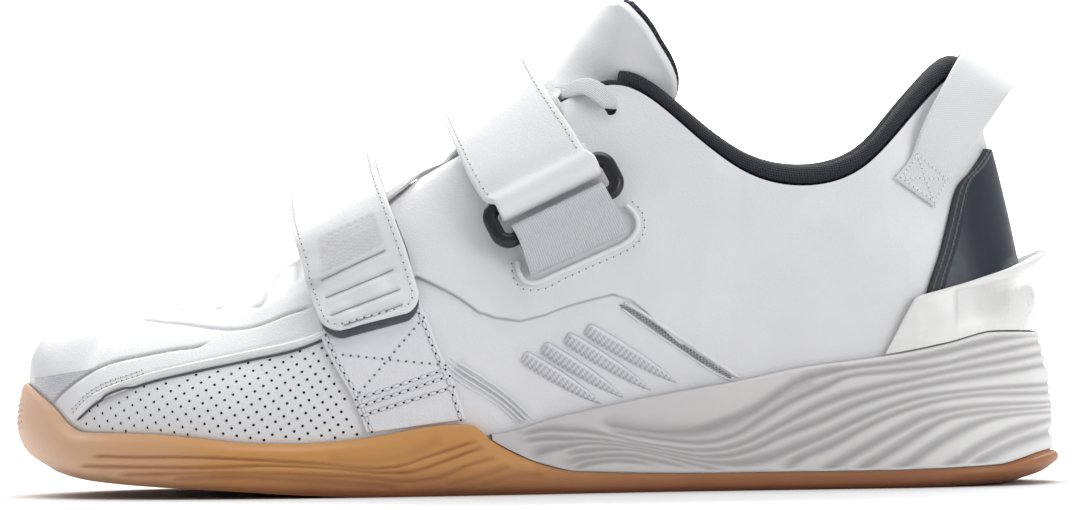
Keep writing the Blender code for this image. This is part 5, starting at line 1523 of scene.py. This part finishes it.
def make_laces():
    """The crossings of the flat lace; each run comes out of one eyelet and goes into the next."""
    parts, faces, uvs, count = [], [], [], 0
    tongue = tongue_rows()
    facing = grid_normals(tongue)
    facing *= math.copysign(1, facing[4, 15, 2])

    def over_tongue(row, column):
        share = np.array([row / 10]), np.array([column / 8])
        return sample(tongue, *share)[0], unit(sample(facing, *share))[0]

    for low, high in zip(EYELETS[:-1], EYELETS[1:]):
        top = high == EYELETS[-1]
        target = TOP_CROSSING if top else (low + high) / 2
        middle, up = crest(target)
        for hand in (1, -1):
            ends = []
            for t, at in ((low, hand), (high, -hand)):
                over = t + 0.3 * (target - t)
                place, edge = (t, over) if at > 0 else (ROUND - t, ROUND - over)
                away = outward(place, EYELET_V)
                ends.append([(last(place, EYELET_V), away, -1.5),
                             (last(place, EYELET_V + 0.015), away, 1.9 if top else 1.2),
                             (last(edge, 0.985), outward(edge, 0.985), 3.4 if top else 1.9)])
                if top:
                    ends[-1].append((*over_tongue(6.1 if t == low else 6.35, 4 - 2 * at), 3.6))
            route = [*ends[0], (middle, up, 3.2 + 0.6 * hand if top else 2.2 + 0.6 * hand), *ends[1][::-1]]
            both = curve([np.concatenate([point + out * away, away]) for point, away, out in route],
                         70)
            path = both[:, :3]
            ahead = unit(np.gradient(path, axis=0))
            wide = unit(np.cross(ahead, both[:, 3:]))
            over = np.cross(wide, ahead)
            chord = lengths(path)
            from_end = np.minimum(chord, chord[-1] - chord)
            half = LACE_WIDTH / 2 * (0.45 + 0.5 * ease(from_end / 6))[:, None, None]
            cosine, sine = circle(16)
            across = np.sign(cosine) * np.abs(cosine) ** 0.6
            thick = np.sign(sine) * np.abs(sine) ** 0.6 * LACE_THICK / 2
            rings = (path[:, None] + half * across[None, :, None] * wide[:, None]
                     + thick[None, :, None] * over[:, None])
            rings = np.concatenate([rings[:1].mean(1, keepdims=True).repeat(17, 1), rings,
                                    rings[-1:].mean(1, keepdims=True).repeat(17, 1)])
            along = np.concatenate([chord[:1], chord, chord[-1:]])
            parts.append(rings.reshape(-1, 3))
            faces.append(grid_faces(*rings.shape[:2], count))
            uvs.append(np.stack(np.broadcast_arrays(along[:, None], across[None] * 3), -1).reshape(-1, 2))
            count += rings.shape[0] * rings.shape[1]
    points = np.concatenate(parts)
    made = make("lace_runs", points, np.concatenate(faces), LACE_LOOK, np.concatenate(uvs),
                np.zeros(len(points)))
    piece(made, "tape", "laces")
    t = np.array(list(EYELETS) + [ROUND - at for at in EYELETS])
    # near-black plugs at the eyelets: painted shade inside the holes
    shape, faces = plug(EYELET_RADIUS, 0.06, 0.5, 20)
    at = skin(t, np.full(len(t), EYELET_V))
    away = outward(t, np.full(len(t), EYELET_V))
    piece(scatter("eyelet_holes", shape, faces, at, np.repeat([[1.0, 0, 0.4]], len(t), 0), away,
                  PERFORATION), "upper")


RIBS = [(-3.5, 39.2, 18.8, 25.2), (2.2, 41.8, 25.2, 26.9), (8.8, 44.4, 32.9, 28.9),
        (14.6, 46.8, 40.5, 30.8)]
RIB_WIDTH = 4.6
RIB_HEIGHT = 1.5


def make_ribs():
    """The raised bars of the side: blunt at the top, thinning out towards the sole."""
    share = [0, 0.015, 0.04, 0.12, 0.35, 0.6, 0.8, 0.93, 1]
    width = RIB_WIDTH / 2 * np.array([0.7, 0.82, 0.9, 0.98, 1, 0.86, 0.6, 0.3, 0.04])
    height = RIB_HEIGHT * np.array([0.1, 0.7, 1, 1, 0.92, 0.7, 0.5, 0.25, 0.06])
    for medial in (False, True):
        for number, (x0, z0, x1, z1) in enumerate(RIBS):
            long = math.hypot(x1 - x0, z1 - z0)
            nx, nz = -(z1 - z0) / long, (x1 - x0) / long
            fine = np.linspace(0, 1, 110) ** 1.15
            w, h = np.interp(fine, share, width), np.interp(fine, share, height)
            over = np.linspace(-1, 1, 25)
            x = x0 + fine[:, None] * (x1 - x0) + over * w[:, None] * nx
            z = z0 + fine[:, None] * (z1 - z0) + over * w[:, None] * nz
            at = locate(np.stack([x, z], -1).reshape(-1, 2))
            t = (ROUND - at[:, 0] if medial else at[:, 0]).reshape(x.shape)
            v = at[:, 1].reshape(x.shape)
            knots = (np.sin(math.tau * fine[:, None] * long / 1.5 + over * w[:, None] * 3.4)
                     * np.sin(math.tau * over * w[:, None] / 1.5 + 0.6))
            inner = ease((0.55 - over) / 0.25) * ease((over + 1) / 0.15) * ease(fine[:, None] / 0.04)
            bevel = ease((1 - over) / 0.3) * ease((over + 1) / 0.55)
            face = h[:, None] * bevel + 0.16 * knots * inner * np.minimum(h, 0.8)[:, None]
            base, top = skin(t, v, 0.05), skin(t, v, 0.05 + face)
            count = x.size
            faces = np.concatenate([grid_faces(*x.shape), grid_faces(*x.shape, count)[:, ::-1]])
            uv = np.stack(np.broadcast_arrays(fine[:, None] * long, over * w[:, None]), -1)
            hand = "medial" if medial else "lateral"
            # painted shade: the shade attribute darkens the hollows of the knurl and the rib's steeper side edge
            made = make(f"rib_{hand}_{number + 1}",
                        np.concatenate([top.reshape(-1, 3), base.reshape(-1, 3)]), faces, RIB_LOOK,
                        np.concatenate([uv.reshape(-1, 2)] * 2),
                        np.concatenate([(inner * (0.42 - 0.42 * knots)
                                         + 0.5 * ease((over - 0.72) / 0.2)
                                         * np.ones((110, 1))).clip(0, 0.85).ravel(), np.zeros(count)]))
            piece(made, "rib", f"side_rib_{hand}_{number + 1}")


COUNTER = [(109.6, 49), (112.5, 58), (115.4, 66), (117.9, 75), (120.4, 84), (124.8, 89.5),
           (129.3, 96)]
BORDER = 4.9


def make_counter():
    """The dark panel round the heel, with a sewn border along both of its front edges."""
    found = curve(locate(COUNTER), 60)
    share = np.sin(np.linspace(-1, 1, 141) * np.pi / 2 * 0.94) / math.sin(np.pi / 2 * 0.94)
    t = np.mod(share[None] * found[:, :1], ROUND)
    v = np.repeat(found[:, 1:], len(share), 1)
    wall = last(t, v)
    half = np.linalg.norm(np.diff(wall, axis=1), axis=-1).sum(1) / 2
    from_edge = (1 - np.abs(share))[None] * half[:, None]
    border = OVERLAY + 0.35 * ease((BORDER - from_edge) / 0.5) * ease(from_edge / 0.4 + 0.3)
    rows = np.linspace(0, 1, len(found))[:, None]
    border = border * np.sqrt(np.clip(np.minimum(rows, 1 - rows) * 90, 0.05, 1))
    low, high = skin(t, v, GAP), skin(t, v, GAP + border)
    ends = np.abs(share) == 1
    high[:, ends] = low[:, ends]
    high[0], high[-1] = low[0], low[-1]
    count = t.size
    faces = np.concatenate([grid_faces(*t.shape), grid_faces(*t.shape, count)[:, ::-1]])
    uv = np.stack([share[None] * half[:, None], v * 60], -1).reshape(-1, 2)
    looks = (from_edge < BORDER)[:-1, :-1].ravel().astype(int)
    made = make("heel_panel", np.concatenate([high.reshape(-1, 3), low.reshape(-1, 3)]), faces,
                [COUNTER_LOOK, BORDER_LOOK], np.concatenate([uv, uv]), np.zeros(2 * count),
                np.concatenate([looks, looks]))
    piece(made, "counter", "heel_counter")
    dark = Sewing()
    for hand in (-1, 1):
        for inset in (1.5, 3.5):
            at = hand * (1 - inset / half[2:-2])
            t_line, v_line = np.mod(at * found[2:-2, 0], ROUND), found[2:-2, 1]
            dark.row(skin(t_line, v_line, GAP + OVERLAY + 0.36), outward(t_line, v_line), 2.1)
    dark.make("heel_threads", "heel_needle_holes", DARK_THREAD, HOLE, "counter", 1.7, 0.6, 0.4)


CLIP_TOP = [(0, 66.8), (0.5, 65.2), (1.0, 61.8), (1.5, 58.6), (2.05, 55.2), (2.2, 54.2)]
CLIP_CORNER, CLIP_FRONT = 2.2, 2.55
V_STEPS = np.linspace(0, 1, 81)
CLIP_SHAPE = ((0, 4.6, 1.9), (0.3, 5.0, 1.9), (0.6, 3.9, 1.9), (0.72, 5.2, 2.3), (0.82, 8.0, 3.4),
              (0.92, 9.7, 5.4), (0.98, 9.9, 6.9), (1, 9.4, 7.6))
POCKET = (119.5, 137.5, 46.5, 57.0)


def make_clip():
    """The stiff cup round the heel, its rim flared to the back and a shallow pocket in each side."""
    fine = curve(CLIP_SHAPE, 34)
    fine[:, 0] = np.clip(fine[:, 0], 0, 1)
    stops = np.sin(np.linspace(-1, 1, 181) * np.pi / 2) * 0.25 + np.linspace(-1, 1, 181) * 0.75
    grids = [[], []]
    for t in stops * CLIP_FRONT:
        back = max(0.0, 1 - (t / 1.35) ** 2) ** 1.3
        top = float(smooth(CLIP_TOP, min(abs(t), CLIP_CORNER)))
        low = float(smooth(RIM, ring(np.array(t))[0])) + 0.5
        front = max(0.0, (abs(t) - CLIP_CORNER) / (CLIP_FRONT - CLIP_CORNER))
        near = 1.2 * front
        fall = top - (abs(t) - CLIP_CORNER + 0.02) / (CLIP_FRONT - CLIP_CORNER) * (top - low - 0.8)
        top = -math.log(math.exp(-1.3 * (top - 50)) + math.exp(-1.3 * (fall - 50))) / 1.3 + 50
        share = fine[:, 0]
        z = low + share * (top - low)
        v = np.interp(z, last(np.full(81, t), V_STEPS)[:, 2], V_STEPS)
        side_out = np.interp(share, [0, 0.94, 1], [3.4, 3.4, 2.9]) - near
        side_in = np.interp(share, [0, 0.94, 1], [1.9, 1.9, 2.1]) - near
        at = np.full(len(share), t)
        for grid, out in zip(grids, (side_out + back * (fine[:, 1] - side_out),
                                     side_in + back * (fine[:, 2] - side_in))):
            points = skin(at, v, out)
            points[:, 2] = z
            grid.append(points)
    outer, inner = (np.array(grid) for grid in grids)
    x, z = outer[..., 0], outer[..., 2]
    x0, x1, z0, z1 = POCKET
    slope = 0.35 * (x - x0) / (x1 - x0) * (z1 - z0)
    inset = (ease((x - x0) / 1.6) * ease((x1 - x) / 2.5) * ease((z - z0 - slope) / 1.5)
             * ease((z1 + slope - z) / 1.5))
    outer = outer - (0.8 * inset)[..., None] * unit(outer - inner)
    inner = np.concatenate([outer[:1], inner[1:-1], outer[-1:]])
    sections = np.concatenate([outer, inner[:, ::-1], outer[:, :1]], 1)
    around = np.stack([lengths(section) for section in sections])
    uv = np.stack(np.broadcast_arrays(stops[:, None] * 45, around), -1)
    # painted shade in the pocket
    dark = np.concatenate([0.25 * inset, np.zeros((len(stops), inner.shape[1] + 1))], 1)
    made = make("heel_cup", sections, grid_faces(*sections.shape[:2]), CLIP_LOOK, uv, dark)
    piece(made, "clip", "heel_clip")


LOOP_SEWN = [(103, 88, 114.4, 79.5), (107.3, 93.2, 118.6, 87.0)]
LOOP_ARCH = [((111.5, -27.0, 102.5), (124.2, -19.3, 94.5)), ((117.8, -21.0, 114.2), (131.6, -12.5, 104.5)),
             ((122.6, -10.5, 122.3), (137.0, -6.8, 111.6)), ((124.4, 0, 124.2), (138.8, 0, 113.6))]
LOOP_THICK = 1.5


def make_pull_loop(sewing):
    sewn = on_side(LOOP_SEWN, 4, GAP + 0.2 + LOOP_THICK / 2)
    half = np.concatenate([sewn, across_rows(LOOP_ARCH, 4)])
    other = half[-2::-1] * np.array([1, -1, 1])
    other[-2:] = on_side(LOOP_SEWN[::-1], 4, GAP + 0.2 + LOOP_THICK / 2, True)
    rows = np.concatenate([half, other])
    loop = Band(rows, -LOOP_THICK / 2, LOOP_THICK / 2, (110, 0, 80), 0.45, (0, 0), 0.7)
    made = loop.make("pull_loop_tape", TAPE)
    piece(made, "tape", "pull_loop")
    reach = 9.5 / loop.length
    for start, sign in ((0.0, 1), (1.0, -1)):
        a0, a1 = start + sign * 0.9 / loop.length, start + sign * reach
        b0, b1 = 1.3 / loop.width, 1 - 1.3 / loop.width
        for a, b in (([a0, a0], [b0, b1]), ([a1, a1], [b0, b1]), ([a0, a1], b0), ([a0, a1], b1),
                     ([a0, a1], [b0, b1]), ([a0, a1], [b1, b0])):
            sewing.row(*loop.line(a, b), 1.5)


def stitch_upper(sewing):
    """The double row of stitches over the front of the piping, on both sides."""
    for medial in (False, True):
        for rise in (2.1, 3.0):
            above = [(x - 0.35 * rise, z + rise) for x, z in STEP[:3]]
            sewing.row(*trace(above, medial), 1.7)


def make_floor():
    look = Look("plain pale floor", (0.88, 0.88, 0.885), 0.7)
    away = look.node("SeparateXYZ", {0: look.place()}, "Y")
    # darker in front of and near the shoe, paler behind: painted shade on the floor
    look.paint(look.mix(look.span(away, 0.0, 1.0), (0.78, 0.78, 0.785, 1), look.colour))
    profile = [(-5.0, 0.0), (3.4, 0.0)]
    profile += [(3.4 + 0.2 * math.sin(a), 0.2 - 0.2 * math.cos(a))
                for a in np.linspace(0.1, math.pi / 2, 12)]
    profile += [(3.6, 0.26)]
    rows = np.array([[(x, y, z) for y, z in profile] for x in (-5.0, 5.0)]) / MM
    rows[..., 2] -= 0.02
    made = make("floor", rows, grid_faces(*rows.shape[:2]), look.made)


def area_light(name, place, target, size, power, colour=(1, 1, 1)):
    data = bpy.data.lights.new(name, "AREA")
    data.shape, data.size, data.size_y = "RECTANGLE", size[0], size[1]
    data.energy, data.color = power, colour
    made = bpy.data.objects.new(name, data)
    made.location = place
    made.rotation_euler = (Vector(target) - Vector(place)).to_track_quat("-Z", "Y").to_euler()
    bpy.context.scene.collection.objects.link(made)


VIEW_CENTRE = (0.0018, 0.0, 0.0673)
VIEW_RISE = math.radians(0.9)
VIEW_ROLL = math.radians(-0.82)
VIEW_AWAY = 3.6
FOCAL = 416.6


def make_camera():
    data = bpy.data.cameras.new("camera")
    data.lens, data.sensor_width = FOCAL, 36.0
    data.clip_start, data.clip_end = 0.1, 60
    made = bpy.data.objects.new("camera", data)
    centre = Vector(VIEW_CENTRE)
    made.location = centre + VIEW_AWAY * Vector((0, -math.cos(VIEW_RISE), math.sin(VIEW_RISE)))
    look_at = (centre - made.location).to_track_quat("-Z", "Y").to_matrix().to_4x4()
    made.matrix_world = Matrix.Translation(made.location) @ look_at @ Matrix.Rotation(VIEW_ROLL, 4, "Z")
    bpy.context.scene.collection.objects.link(made)
    bpy.context.scene.camera = made


def make_light():
    world = bpy.data.worlds.new("studio")
    world.use_nodes = True
    world.node_tree.nodes["Background"].inputs["Color"].default_value = (0.97, 0.98, 1.0, 1)
    world.node_tree.nodes["Background"].inputs["Strength"].default_value = 0.4
    bpy.context.scene.world = world
    area_light("softbox above", (0.0, 0.1, 1.2), (0, 0, 0), (1.2, 0.8), 10.5)
    area_light("softbox heel side", (1.3, -1.1, 0.55), (0.05, 0, 0.05), (0.8, 0.8), 8)
    area_light("backdrop light", (0, 2.3, 1.8), (0, 2.9, 0.0), (4, 2.6), 230)


def main():
    make_camera()
    make_floor()
    make_light()
    sewing, bold, cross = Sewing(), Sewing(), Sewing()
    make_upper()
    make_trims()
    make_perforations()
    make_outsole()
    make_midsole()
    make_insole()
    make_tongue()
    make_collar()
    make_throat_binding()
    make_straps(sewing, bold, cross)
    make_ring_group(sewing)
    make_laces()
    make_ribs()
    make_counter()
    make_clip()
    make_pull_loop(sewing)
    stitch_upper(sewing)
    sewing.make("white_threads", "needle_holes", THREAD, HOLE, "tape")
    cross.make("cross_threads", "cross_needle_holes", THREAD, HOLE, "tape", 1.5, 0.5, 0.3, 0.38)
    bold.make("base_threads", "base_needle_holes", THREAD, DEEP_HOLE, "tape", 2.2, 0.8, 0.5, 0.34,
              THREAD_SHADOW_LOOK)
    bpy.context.scene.view_settings.view_transform = "Standard"


main()
